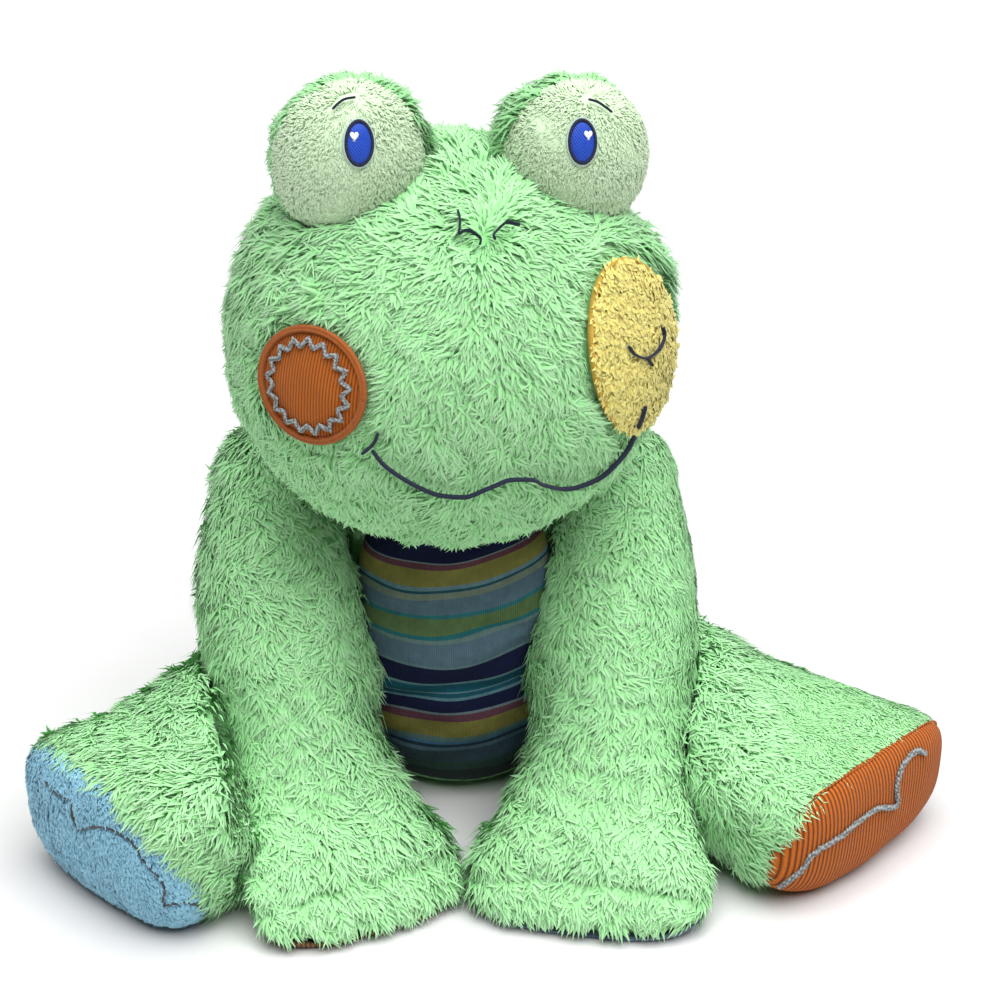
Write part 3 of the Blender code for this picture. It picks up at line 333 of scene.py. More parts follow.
class Egg:
    """A head or eye egg that flat outlines are laid on, in the head's own directions."""

    def __init__(self, halves, turned, centre):
        self.halves, self.turned, self.centre = halves, turned, np.array(centre, dtype=float)

    def out(self, points):
        """How far out a place lies: 1 on the surface."""
        return np.linalg.norm(((points - self.centre) @ self.turned) / self.halves, axis=-1)

    def laid(self, across, up, place):
        """Where lines along the place's own Z from a flat outline leave the egg, and the egg's normals there."""
        origin, aside, upward, outward = place
        start = origin + across[..., None] * aside + up[..., None] * upward
        begin = ((start - self.centre) @ self.turned) / self.halves
        way = (outward @ self.turned) / self.halves
        half = begin @ way
        whole = way @ way
        room = np.maximum(half ** 2 - whole * ((begin ** 2).sum(-1) - 1), 1e-8)
        reach = (np.sqrt(room) - half) / whole
        points = start + reach[..., None] * outward
        local = ((points - self.centre) @ self.turned) / self.halves ** 2
        return points, unit(local @ self.turned.T)


HEAD_EGG = Egg(HEAD_HALVES, HEAD_TILTED, (0, 0, 0))
EYE_EGG = {side: Egg(EYE_HALVES, np.eye(3), eye_centre(side)) for side in (RIGHT, LEFT)}


def facing(point, outward, upward=(0, 0, 1)):
    """A frame at a point, as origin, aside, up and outward."""
    out = unit(np.array(outward, dtype=float))
    aside = unit(np.cross(upward, out))
    return np.array(point, dtype=float), aside, np.cross(out, aside), out


CHEEK_TURN = math.radians(52)
CHEEKS = {RIGHT: (0.0405, 0.0390, 0.002), LEFT: (0.050, 0.057, 0.0113)}
CHEEK_BORDER = 0.0030


def cheek_place(side):
    rise = CHEEKS[side][2]
    return facing((0, 0, rise), (side * math.sin(CHEEK_TURN), -math.cos(CHEEK_TURN), 0))


def resting_height(height, full=1):
    return height / 2 * math.cos(math.pi / FACETS_OF_SOLID) ** full - PRESSED_FLAT


def oval(wide, tall, middle=(0, 0)):
    """An oval as places across and up, given the turns round it."""
    return lambda turn: (middle[0] + wide * np.cos(turn), middle[1] + tall * np.sin(turn))


def oval_ring(wide, tall, count, middle=(0, 0)):
    return np.stack(oval(wide, tall, middle)(circle(count)), -1)


def laid_on(egg, place):
    """The surface of an egg under a flat place, in the frog's directions, with its normals."""
    def surface(across, up):
        points, normals = egg.laid(across, up, place)
        return to_frog(points), turned_to_frog(normals)
    return surface


LIMB_RINGS, ROOT_RINGS, CAP_RINGS = 110, 20, 30


class Limb:
    """A limb: sections along a smooth line, with a ball at its root and a blunt cap at its tip.

    A section's point at an angle is its centre plus its half width times the signed power of the cosine to one
    side, and its half height times the signed power of the sine upwards. The power is the section's fullness. The
    sections lean outward at their tops towards the end, up to the end lean.
    """

    def __init__(self, stations, cap_length, bluntness_share, end_lean=0, steps=LIMB_RINGS):
        fine = smooth_line(stations, np.linspace(0, len(stations) - 1, steps))
        centres, wide, high, full = fine[:, :3], fine[:, 3] / 2, fine[:, 4] / 2, fine[:, 5]
        along = unit(np.gradient(centres, axis=0))
        back = np.linspace(math.pi / 2, 0, ROOT_RINGS)[1:-1]
        front = np.linspace(0, math.pi / 2, CAP_RINGS)[1:-1]
        narrow = np.cos(front) ** bluntness_share
        self.centres = np.vstack((centres[0] - np.outer(wide[0] * np.sin(back), along[0]), centres,
                                  centres[-1] + np.outer(cap_length * np.sin(front), along[-1])))
        self.along = np.vstack((np.repeat(along[:1], len(back), 0), along, np.repeat(along[-1:], len(front), 0)))
        self.wide = np.concatenate((wide[0] * np.cos(back), wide, wide[-1] * narrow))
        self.high = np.concatenate((high[0] * np.cos(back), high, high[-1] * narrow))
        self.full = np.concatenate((np.full(len(back), full[0]), full, np.full(len(front), full[-1])))
        self.aside = unit(np.cross(self.along, (0, 0, 1)))
        self.above = np.cross(self.aside, self.along)
        self.lean = math.tan(end_lean) * np.concatenate((np.zeros(len(back)), np.linspace(0, 1, steps) ** 2,
                                                         np.ones(len(front))))
        self.root = centres[0] - along[0] * wide[0]
        self.tip = centres[-1] + along[-1] * cap_length

    def points(self, angles):
        """Every section's points at the angles, one row of angles for all sections or one for each."""
        full = self.full[:, None]
        across = np.sign(np.cos(angles)) * np.abs(np.cos(angles)) ** full
        up = np.sign(np.sin(angles)) * np.abs(np.sin(angles)) ** full
        upright = self.above + self.lean[:, None] * self.along
        return (self.centres[:, None] + (self.wide[:, None] * across)[..., None] * self.aside[:, None]
                + (self.high[:, None] * up)[..., None] * upright[:, None])

    def form(self, around=104):
        return closed_form(self.points(circle(around)), self.root, self.tip)

    def measured(self, points):
        """The nearest section of each point, how far out it lies in it, and the sideways part of its offset."""
        places = self.centres[::3]
        offset = points[:, None] - places[None]
        ahead = np.einsum("nmi,mi->nm", offset, self.along[::3])
        nearest = np.argmin(np.abs(ahead) + 0.05 * np.linalg.norm(offset, axis=-1), 1)
        pick = np.arange(len(points))
        section = nearest * 3
        beside = np.einsum("ni,ni->n", offset[pick, nearest], self.aside[section])
        upward = np.einsum("ni,ni->n", offset[pick, nearest], self.above[section])
        power = 1 / self.full[section]
        reach = ((np.abs(beside) / np.maximum(self.wide[section], 1e-4)) ** (2 * power)
                 + (np.abs(upward) / np.maximum(self.high[section], 1e-4)) ** (2 * power)) ** (self.full[section] / 2)
        reach = np.where(np.abs(ahead[pick, nearest]) > 0.005, 9, reach)
        return section, reach, beside, upward


def make_arm(side):
    """The arm: down and forward from the shoulder ball, then flat on the floor as a broad flipper."""
    flipper_side, flipper_width = FLIPPER[side]
    drift = flipper_side - SHOULDER_SPREAD
    drop = SHOULDER_HEIGHT - FLIPPER_THICKNESS / 2
    ball = 2 * SHOULDER_RADIUS
    drift_shares = (0.00, 0.04, 0.14, 0.30, 0.66, 1.00, 1.12)
    reach_shares = (0.00, 0.17, 0.37, 0.56, 0.76, 0.94, 1.00)
    drop_shares = (1.00, 0.74, 0.49, 0.26, 0.085, 0.00, 0.00)
    fullness = (1.00, 1.00, 1.00, 1.00, 0.92, 0.85, 0.85)
    widths = (ball, ARM_WIDTH, ARM_WIDTH, WRIST_WIDTH, (flipper_width + WRIST_WIDTH) / 2, flipper_width,
              flipper_width)
    thicknesses = (ball, ARM_WIDTH, ARM_WIDTH, WRIST_WIDTH, (2 * FLIPPER_THICKNESS + WRIST_WIDTH) / 3,
                   FLIPPER_THICKNESS, (2 * TOE_THICKNESS + FLIPPER_THICKNESS) / 3)
    stations = []
    for index, width in enumerate(widths):
        thick, full = thicknesses[index], fullness[index]
        lowest = resting_height(thick, full)
        hanging = FLIPPER_THICKNESS / 2 + drop * drop_shares[index]
        height = max(hanging, lowest) if thick > FLIPPER_THICKNESS else lowest
        stations.append((SHOULDER_SIDE + side * (SHOULDER_SPREAD + drift * drift_shares[index]),
                         -ARM_REACH * reach_shares[index], height, width, thick, full))
    return Limb(stations, TOE_ROUNDING, TOE_BLUNTNESS_SHARE)


def leg_directions(side):
    """The leg's way out at full reach, the way its sole faces and its way to the outside."""
    leg = LEG[side]
    toward = leg["turn"] + math.atan(4 * leg["bow"] / leg["reach"])
    out = np.array((side * math.sin(leg["turn"]), -math.cos(leg["turn"]), 0)) * leg["reach"]
    return (out, np.array((side * math.sin(toward), -math.cos(toward), 0)),
            np.array((side * math.cos(leg["turn"]), math.sin(leg["turn"]), 0)))


def hip_at(side):
    return np.array((side * HIP_SPREAD, HIP_BACK, resting_height(2 * HIP_RADIUS)))


def shoulder_at(side):
    return np.array((SHOULDER_SIDE + side * SHOULDER_SPREAD, 0, SHOULDER_HEIGHT))


def make_leg(side):
    """The leg: outward along the floor from the haunch, wider and lower towards the foot."""
    leg = LEG[side]
    out, _, aside = leg_directions(side)
    ball = 2 * HIP_RADIUS
    reach_shares = (0.00, 0.28, 0.55, 0.82, 1.00)
    fullness = (1.00, 0.95, 0.85, 0.72, 0.65)
    widths = (ball, LEG_WIDTH, (LEG_WIDTH + 2 * leg["foot"]) / 3, leg["foot"], leg["foot"])
    foot_height = leg["foot_height"]
    heights = (ball, leg["height"], (leg["height"] + foot_height) / 2, foot_height, foot_height)
    stations = []
    for share, width, height, full in zip(reach_shares, widths, heights, fullness):
        centre = hip_at(side) + out * share - aside * 4 * leg["bow"] * share * (1 - share)
        stations.append((centre[0], centre[1], resting_height(height, full), width, height, full))
    return Limb(stations, SOLE_BULGE, SOLE_BLUNTNESS_SHARE, FOOT_LEAN)


ARMS = {side: make_arm(side) for side in (RIGHT, LEFT)}
LEGS = {side: make_leg(side) for side in (RIGHT, LEFT)}


def sole_plane(side):
    """A point on the seam between fur and sole, and the way that the sole looks: out and a little down."""
    out, sole_out, _ = leg_directions(side)
    point = hip_at(side) + out + sole_out * LEG[side]["seam"]
    point[2] = LEG[side]["foot_height"]
    return point, sole_out * math.cos(SOLE_LEAN) - np.array((0, 0, 1)) * math.sin(SOLE_LEAN)


# Room between neighbours: a point nearer to a middle than the least reach is moved as if it lay there
LEAST_BODY_REACH, LEAST_LIMB_REACH, LEAST_HEAD_REACH = 0.08, 0.12, 0.20


def turned_about(points, centre, axis, angle):
    """Points turned about an axis through a centre."""
    matrix = np.array(Matrix.Rotation(angle, 3, Vector(axis)))
    return (points - centre) @ matrix.T + centre


def off_body(points, clearance):
    """Points inside the body moved straight away from its middle line until they are clear of it."""
    wide, deep, middle = body_section(points[:, 2])
    across, forward = points[:, 0] / (wide + clearance), (points[:, 1] - middle) / (deep + clearance)
    reach = np.hypot(across, forward)
    push = np.where((reach < 1) & (points[:, 2] < BODY_HEIGHT), 1 / np.maximum(reach, LEAST_BODY_REACH), 1)
    return np.stack((points[:, 0] * push, middle + (points[:, 1] - middle) * push, points[:, 2]), -1)


def off_limb(points, limb, clearance):
    """Points inside a limb moved straight away from its centre line until they are clear of it."""
    section, reach, beside, upward = limb.measured(points)
    wanted = 1 + clearance / np.minimum(limb.wide[section], limb.high[section]).clip(0.004)
    push = np.where(reach < wanted, wanted / np.maximum(reach, LEAST_LIMB_REACH) - 1, 0)
    return (points + (beside * push)[:, None] * limb.aside[section]
            + (upward * push)[:, None] * limb.above[section])


def off_head(points, clearance):
    """Points inside the head moved away from its middle until they are clear of it."""
    local = to_head(points)
    reach = HEAD_EGG.out(local)
    wanted = 1 + clearance / HEAD_HALVES.min()
    push = np.where(reach < wanted, wanted / np.maximum(reach, LEAST_HEAD_REACH), 1)
    return to_frog(local * push[:, None])


def arm_clear(points, side, clearance):
    """An arm's points clear of the body wherever the arm swings."""
    centre, axis = shoulder_at(side), (-1, 0, 0)
    for angle in np.linspace(ARM_RAISE, 0, 4):
        moved = off_body(turned_about(points, centre, axis, angle), clearance)
        points = turned_about(moved, centre, axis, -angle)
    return points


def leg_clear(points, side, clearance):
    """A leg's points clear of the arm and of the body wherever the leg and the arm swing."""
    hip, shoulder = hip_at(side), shoulder_at(side)
    for splay in np.linspace(LEG_SPLAY, 0, 3):
        for lift in np.linspace(ARM_RAISE, 0, 3):
            moved = turned_about(points, hip, (0, 0, side), splay)
            moved = turned_about(moved, shoulder, (-1, 0, 0), -lift)
            moved = turned_about(off_limb(moved, ARMS[side], clearance), shoulder, (-1, 0, 0), lift)
            points = turned_about(moved, hip, (0, 0, side), -splay)
        moved = off_body(turned_about(points, hip, (0, 0, side), splay), clearance)
        points = turned_about(moved, hip, (0, 0, side), -splay)
    return points


# Pieces


def put_in_scene(name, points, faces, finish, body, replaced=(), lay=None, map_name="lay", shaded=None,
                 slot=None):
    """A mesh object with its finish, riding on its body. lay gives each corner's place on the piece's own map.

    shaded gives each point a normal of its own, which softens the light on thin locks.
    """
    mesh = bpy.data.meshes.new(name)
    count, sides = faces.shape
    mesh.vertices.add(len(points))
    mesh.vertices.foreach_set("co", np.ascontiguousarray(points, dtype=np.float32).ravel())
    mesh.loops.add(count * sides)
    mesh.loops.foreach_set("vertex_index", np.ascontiguousarray(faces, dtype=np.int32).ravel())
    mesh.polygons.add(count)
    mesh.polygons.foreach_set("loop_start", np.arange(0, count * sides, sides, dtype=np.int32))
    mesh.update(calc_edges=True)
    if lay is not None:
        layer = mesh.uv_layers.new(name=map_name)
        layer.data.foreach_set("uv", np.ascontiguousarray(lay[faces.ravel()], dtype=np.float32).ravel())
    mesh.validate()
    mesh.shade_smooth()
    if shaded is not None:
        own = mesh.attributes.new("custom_normal", "FLOAT_VECTOR", "POINT")
        own.data.foreach_set("vector", np.ascontiguousarray(shaded, dtype=np.float32).ravel())
    mesh.materials.append(FINISHES[finish])
    piece = bpy.data.objects.new(name, mesh)
    bpy.context.scene.collection.objects.link(piece)
    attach(piece, body)
    if replaced:
        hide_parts(*replaced)
    return piece


def put_backing(name, form, body, replaced, slot=None):
    """The closed cloth of a stuffed part."""
    put_in_scene(name, *form, "backing", body, replaced, slot=slot)


def thickened(piece, thick=CLOTH_THICKNESS):
    """A cloth made as thick as the real one, inwards from its surface, so that its edge is closed."""
    wall = piece.modifiers.new("cloth", "SOLIDIFY")
    wall.thickness = thick
    wall.offset = -1
    return piece


def rooted(form, density, seed):
    """Random places on a form, evenly by area, and the normals there."""
    points, faces = form
    normals = normals_of(form)
    area = np.linalg.norm(crossed(points, faces), axis=1) / 2
    count = int(area.sum() * density)
    chance = np.random.default_rng(seed)
    total = np.cumsum(area)
    spots = (np.arange(count) + chance.uniform(size=count)) / count * total[-1]
    chosen = np.minimum(np.searchsorted(total, spots), len(faces) - 1)
    first, second = chance.uniform(size=(2, count))
    over = first + second > 1
    first, second = np.where(over, 1 - first, first), np.where(over, 1 - second, second)
    weights = np.stack((1 - first - second, first, second), -1)[..., None]
    return (points[faces[chosen]] * weights).sum(1), unit((normals[faces[chosen]] * weights).sum(1)), chance


# A lock of pile
LOCK = np.array(((0, 1, 2), (1, 3, 2)))
LOCK_TONES = np.array((0, -0.008, 0.008, 0))
LOCK_SHARES = np.array((0.02, 0.46, 0.50, 0.97))
BEND_SHARE = 0.48
SINKING = -0.10
# Slow waves over the cloth, their sizes for a lock of the first length
USUAL_LENGTH, WIDE_WAVE, CLUMP_WAVE, CURL_WAVE, TONE_WAVE = 0.0072, 0.020, 0.008, 0.006, 0.03


def grow_pile(name, form, combed, keep, body, seed, finish="fur", pieces=1, mess=0.30, **own):
    """Locks of pile over a form, of the panel's sizes or of their own.

    A lock is a narrow blade folded across its middle, from a root on the form over two side points to its tip. Its
    first half leaves at the lift angle from the cloth, along the combed direction, and its second half lies flatter,
    sinks a little and curls to one side. Length, lift, direction and tone vary at random and also slowly over the
    cloth, so neighbours lie together. The lock's tone and its root-to-tip share are its places on the map.
    """
    pile = bpy.context.scene.frog_pile
    length, width, density, lift = (own.get(key, getattr(pile, key))
                                    for key in ("length", "width", "density", "lift"))
    density *= 10000
    roots, normals, chance = rooted(form, density, seed)
    share = keep(roots, normals)
    kept = share > 0
    roots, normals, share = roots[kept], normals[kept], share[kept]
    across, back = (roots[:, part] - roots[:, part].mean() for part in (0, 1))
    order = np.argsort(np.arctan2(back, across) % (2 * math.pi))
    roots, normals, share = roots[order], normals[order], share[order]
    count = len(roots)
    way = combed(roots, normals)
    way = unit(way - normals * np.einsum("ij,ij->i", way, normals)[:, None])
    beside = np.cross(normals, way)
    reach = length / USUAL_LENGTH
    swirl = (0.55 * ripple(roots, WIDE_WAVE * reach, seed + 1) + 0.45 * ripple(roots, CLUMP_WAVE * reach, seed + 5)
             + chance.normal(0, mess, count))
    way = way * np.cos(swirl)[:, None] + beside * np.sin(swirl)[:, None]
    beside = np.cross(normals, way)
    clump = ripple(roots, CLUMP_WAVE * reach, seed + 2)
    long = length * share * (1 + 0.16 * clump + chance.normal(0, 0.14, count)).clip(0.5, 1.5)
    rise = (np.radians(lift) * (1 + 0.24 * clump + chance.normal(0, 0.24, count)).clip(0.3, 1.9)
            * share.clip(0.5, 1.4))
    leave = way * np.cos(rise)[:, None] + normals * np.sin(rise)[:, None]
    low = rise / 4
    curl = chance.normal(0, 0.45, count) + 0.4 * ripple(roots, CURL_WAVE * reach, seed + 6)
    arrive = unit(way * np.cos(low)[:, None] + normals * np.sin(low)[:, None] + beside * curl[:, None]
                  + (0, 0, SINKING))
    middle = roots + leave * (long * BEND_SHARE)[:, None]
    tip = middle + arrive * (long * (1 - BEND_SHARE))[:, None]
    thick = width / 2 * chance.uniform(0.7, 1.3, count) * share.clip(0.6, 1)
    side = beside * thick[:, None]
    points = np.stack((roots, middle - side, middle + side, tip), 1)
    points[..., 2] = np.maximum(points[..., 2], FLOOR_LIFT + 0.0006 * chance.uniform(size=(count, 1)))
    # Locks on cloth that faces down get a darker tone: painted shade under the head, the arms and the body.
    under = (0.1 - normals[:, 2]).clip(0, 0.8)
    tone = (0.5 + 0.12 * clump + 0.10 * ripple(roots, TONE_WAVE, seed + 3) + chance.normal(0, 0.12, count)
            - 0.5 * under).clip(0.03, 0.97)
    shaded = unit(normals[:, None] + np.stack((0 * beside, -0.5 * beside, 0.5 * beside, 0.4 * arrive), 1))
    lay = np.stack((tone[:, None] + LOCK_TONES, np.broadcast_to(LOCK_SHARES, (count, 4))), -1)
    for index, part in enumerate(np.array_split(np.arange(count), pieces), 1):
        faces = (LOCK[None] + 4 * np.arange(len(part))[:, None, None]).reshape(-1, 3)
        title = name + "_pile" + ("_%d" % index if pieces > 1 else "")
        put_in_scene(title, points[part].reshape(-1, 3), faces, finish, body, lay=lay[part].reshape(-1, 2),
                     map_name="OFBake", shaded=shaded[part].reshape(-1, 3))


def flat_lay(across, up):
    """Places across and up in decimetres, as a patch's map."""
    return np.stack((across, up), -1) * 10 + 0.5


def pad(name, outline, surface, finish, body, replaced, lift, rings=44, spokes=176,
        thick=CLOTH_THICKNESS):
    """A cloth patch: the outline shrunk to its middle in rings, laid on a surface and raised along its normals.

    lift gives the height of each place by its share of the way out.
    """
    out = np.linspace(0, 1, rings + 1)[1:, None]
    turn = circle(spokes)[None, :]
    across, up = (np.append((edge.mean() + (edge - edge.mean()) * out).ravel(), edge.mean())
                  for edge in outline(turn))
    share = np.append((out * np.ones_like(turn)).ravel(), 0)
    points, normals = surface(across, up)
    points = points + normals * lift(across, up, share)[:, None]
    faces = looking(points, disc_triangles(rings, spokes), normals.sum(0))
    return thickened(put_in_scene(name, points, faces, finish, body, replaced, flat_lay(across, up)), thick)


def path_frame(path, normals, closed):
    """The way to the side of a path and up from its cloth, and how far along each point is."""
    along = unit(np.roll(path, -1, 0) - np.roll(path, 1, 0) if closed else np.gradient(path, axis=0))
    beside = unit(np.cross(along, normals))
    return beside, np.cross(beside, along), lengths_along(path)


def sewn_form(path, normals, width, height, closed, ridges, sides):
    """A flattened round section carried along a path, with its map: along in centimetres, and round.

    The section is width times the cosine to the side and height times the sine up. With ridges its middle is
    lower, so it reads as two rows. An open line ends in rounded points.
    """
    beside, up, steps = path_frame(path, normals, closed)
    turns = circle(sides)
    ends = np.ones(len(path))
    if not closed:
        near_end = np.minimum(steps, steps[-1] - steps) / (width * 0.8)
        ends = np.sqrt((1 - (1 - near_end.clip(0, 1)) ** 2).clip(0.02, 1))
    dip = 1 - ridges * bell(np.cos(turns), 0, 0.28)
    rows = (path[:, None] + (np.outer(ends, np.cos(turns)) * width / 2)[..., None] * beside[:, None]
            + (np.outer(ends, np.sin(turns) * dip) * height / 2)[..., None] * up[:, None])
    lay = np.stack(np.broadcast_arrays(steps[:, None] * 100, turns[None] / (2 * math.pi)), -1).reshape(-1, 2)
    if closed:
        points = rows.reshape(-1, 3)
        faces = outward_faces(points, grid_triangles(len(path) + 1, sides) % (len(path) * sides))
    else:
        points, faces = closed_form(rows, path[0], path[-1])
        lay = np.vstack((lay, lay[:1], lay[-1:]))
    return points, faces, lay


def stitched_line(name, path, normals, width, height, finish, body, replaced=(), closed=False, ridges=0, sides=14):
    """A sewn line of one flattened thread or satin row."""
    points, faces, lay = sewn_form(path, normals, width, height, closed, ridges, sides)
    put_in_scene(name, points, faces, finish, body, replaced, lay)


def braided_line(name, path, normals, width, body, replaced, closed=False, sides=8):
    """Two grey threads twisted together: each circles the path at a quarter of the width, half a turn apart."""
    beside, up, steps = path_frame(path, normals, closed)
    whole = steps[-1] + (np.linalg.norm(path[0] - path[-1]) if closed else 0)
    turn = 2 * math.pi * round(whole / (1.3 * width)) * steps / whole
    parts = []
    for start in (0, math.pi):
        circled = (beside * np.cos(turn + start)[:, None] + 0.7 * up * np.sin(turn + start)[:, None]) * width / 4
        parts.append(sewn_form(path + circled, normals, width * 0.58, width * 0.50, closed, 0, sides))
    first, second = parts
    put_in_scene(name, np.vstack((first[0], second[0])), np.vstack((first[1], second[1] + len(first[0]))), "grey",
                 body, replaced, np.vstack((first[2], second[2])))


def line_on(egg, line, place, count, raised, closed=False):
    """A flat line of stations laid on an egg and raised off it, in the frog's directions, with its normals."""
    flat = even_line(line, count, closed)
    points, normals = egg.laid(flat[:, 0], flat[:, 1], place)
    return to_frog(points + normals * raised), turned_to_frog(normals)


# Finishes


class Net:
    """The nodes of one material or effect, with a short way to add each kind."""

    def __init__(self, tree):
        self.nodes, self.links = tree.nodes, tree.links

    def add(self, kind, output, inputs, **settings):
        """A node with its settings, and its inputs by name or number linked to sockets or set to values."""
        node = self.nodes.new("ShaderNode" + kind)
        for title, value in settings.items():
            setattr(node, title, value)
        for title, value in inputs.items():
            if isinstance(value, bpy.types.NodeSocket):
                self.links.new(value, node.inputs[title])
            else:
                node.inputs[title].default_value = value
        return node.outputs if output is None else node.outputs[output]

    def maths(self, operation, *values, clamp=False):
        return self.add("Math", 0, dict(enumerate(values)), operation=operation, use_clamp=clamp)

    def mix(self, share, first, second):
        """A colour between two colours, which are sockets or plain colours."""
        ends = ((*colour, 1) if isinstance(colour, tuple) else colour for colour in (first, second))
        return self.add("Mix", 2, dict(zip((0, 6, 7), (share, *ends))), data_type="RGBA")

    def eased(self, value, low, high):
        """A value from low to high, carried smoothly to one from 0 to 1."""
        return self.add("MapRange", 0, {0: value, 1: low, 2: high}, interpolation_type="SMOOTHSTEP")

    def place(self):
        return self.add("TexCoord", "Object", {})

    def own_map(self, name):
        return self.add("UVMap", 0, {}, uv_map=name)

    def parts(self, vector):
        return self.add("SeparateXYZ", None, {0: vector})

    def scaled(self, vector, amount):
        return self.add("VectorMath", 0, {0: vector, "Scale": amount}, operation="SCALE")

    def noise(self, scale, detail, rough=0.6, place=None):
        """Unevenness on the object's own coordinates, or on the place."""
        return self.add("TexNoise", "Fac", {"Scale": scale, "Detail": detail, "Roughness": rough,
                                            "Vector": self.place() if place is None else place})

    def wave(self, place, direction, scale, distortion):
        return self.add("TexWave", "Fac", {"Vector": place, "Scale": scale, "Distortion": distortion},
                        wave_type="BANDS", bands_direction=direction)


class Effect(Net):
    """A node group as a net, with the sockets it takes, by name and value, and the names of those it gives."""

    def __init__(self, name, takes, gives):
        self.group = bpy.data.node_groups.new(name, "ShaderNodeTree")
        super().__init__(self.group)
        for title, value in takes.items():
            kind = "NodeSocketFloat" if isinstance(value, float) else "NodeSocketColor"
            self.group.interface.new_socket(name=title, in_out="INPUT", socket_type=kind).default_value = value
        for title in gives:
            kind = "NodeSocketColor" if title == "Colour" else "NodeSocketFloat"
            self.group.interface.new_socket(name=title, in_out="OUTPUT", socket_type=kind)
        self.takes = self.nodes.new("NodeGroupInput").outputs
        self.gives = self.nodes.new("NodeGroupOutput").inputs

    def give(self, **values):
        for title, value in values.items():
            self.links.new(value, self.gives[title])
        return self.group


def pile_tint():
    """The colour of a lock: root, middle and tip by its share along, lighter or darker by its tone. The darker root
    is painted shade deep in the pile.
    """
    net = Effect("pile tint", {"Root": (0, 0, 0, 1), "Middle": (0.5, 0.5, 0.5, 1), "Tip": (1, 1, 1, 1),
                               "Variation": 0.3}, ("Colour",))
    lock = net.parts(net.own_map("OFBake"))
    lower = net.mix(net.eased(lock["Y"], 0.0, 0.50), net.takes["Root"], net.takes["Middle"])
    whole = net.mix(net.eased(lock["Y"], 0.40, 1.0), lower, net.takes["Tip"])
    swing = net.maths("MULTIPLY", net.maths("SUBTRACT", lock["X"], 0.5), net.takes["Variation"])
    return net.give(Colour=net.scaled(whole, net.maths("ADD", swing, 1.0)))


def wale_ribs():
    """Rounded ribs across the map's first direction, with the short nap that runs along them."""
    net = Effect("wales", {"Ribs": 60.0, "Wander": 0.2}, ("Height", "Ridge"))
    lay = net.own_map("lay")
    wander = net.maths("MULTIPLY", net.noise(5.0, 2.0, 0.5, lay), net.takes["Wander"])
    count = net.maths("MULTIPLY_ADD", net.parts(lay)["X"], net.takes["Ribs"], wander)
    wave = net.maths("ABSOLUTE", net.maths("SINE", net.maths("MULTIPLY", count, math.pi)))
    rib = net.maths("POWER", wave, 0.7)
    stretched = net.add("Mapping", 0, {"Vector": lay, "Scale": (240, 60, 1)})
    nap = net.noise(1.0, 2.0, 0.6, stretched)
    # The colour's share follows the ribs, so the grooves between them take the darker colour: painted shade.
    ridge = net.maths("MULTIPLY", rib, net.maths("MULTIPLY_ADD", nap, 0.8, 0.6), clamp=True)
    return net.give(Height=net.maths("MULTIPLY_ADD", nap, 0.45, rib), Ridge=ridge)


def soft_nap():
    """Short pile: unevenness at two sizes on the object's own coordinates."""
    net = Effect("soft nap", {"Fine": 900.0, "Coarse": 120.0}, ("Height", "Shade"))
    place = net.place()
    fine = net.noise(net.takes["Fine"], 2.0, 0.65, place)
    coarse = net.noise(net.takes["Coarse"], 4.0, 0.65, place)
    height = net.maths("MULTIPLY", net.maths("ADD", fine, coarse), 0.5)
    # The colour's share follows the height, so the nap's hollows are darker: painted shade.
    return net.give(Height=height, Shade=net.eased(height, 0.32, 0.68))


def satin_rows():
    """Threads laid side by side across a sewn line, slightly slanted, on the line's own map."""
    net = Effect("satin rows", {"Rows": 25.0, "Slant": 3.0}, ("Height", "Shade"))
    lay = net.parts(net.own_map("lay"))
    slant = net.maths("MULTIPLY", lay["Y"], net.takes["Slant"])
    count = net.maths("MULTIPLY_ADD", lay["X"], net.takes["Rows"], slant)
    wave = net.maths("SINE", net.maths("MULTIPLY", count, 2 * math.pi))
    height = net.maths("MULTIPLY_ADD", wave, 0.5, 0.5)
    speck = net.maths("ADD", net.noise(700.0, 2.0), 0.4)
    # The colour's share follows the rows' height, so the dips between threads are darker: painted shade. The specks
    # are the thread's own unevenness.
    return net.give(Height=height, Shade=net.maths("MULTIPLY", net.maths("ADD", height, 0.4), speck, clamp=True))


# Belly stripes from the seat up: the height where each starts, in millimetres, and its colour
STRIPES = (
    (0.0, (30, 54, 50)), (15.1, (50, 88, 76)), (19.8, (62, 88, 104)), (26.4, (96, 128, 146)), (28.8, (26, 60, 84)),
    (30.0, (78, 124, 158)), (31.3, (100, 132, 130)), (33.4, (146, 138, 70)), (40.2, (110, 66, 82)),
    (43.3, (120, 138, 150)), (44.1, (8, 20, 64)), (48.6, (96, 138, 150)), (49.7, (22, 88, 108)),
    (50.8, (110, 146, 158)), (51.7, (20, 100, 124)), (55.2, (110, 146, 156)), (56.2, (8, 20, 64)),
    (63.3, (112, 142, 150)), (64.4, (98, 126, 144)), (72.3, (118, 146, 142)), (73.8, (40, 122, 130)),
    (75.3, (104, 132, 84)), (80.6, (48, 128, 136)), (82.4, (100, 128, 146)), (88.3, (136, 150, 136)),
    (90.6, (26, 90, 108)), (91.4, (120, 156, 168)), (92.9, (152, 146, 76)), (99.1, (116, 70, 84)),
    (100.6, (130, 144, 150)), (101.3, (8, 20, 64)))
STRIPED_HEIGHT = 125
STRIPE_TILT, STRIPE_SAG = -0.10, -3.2


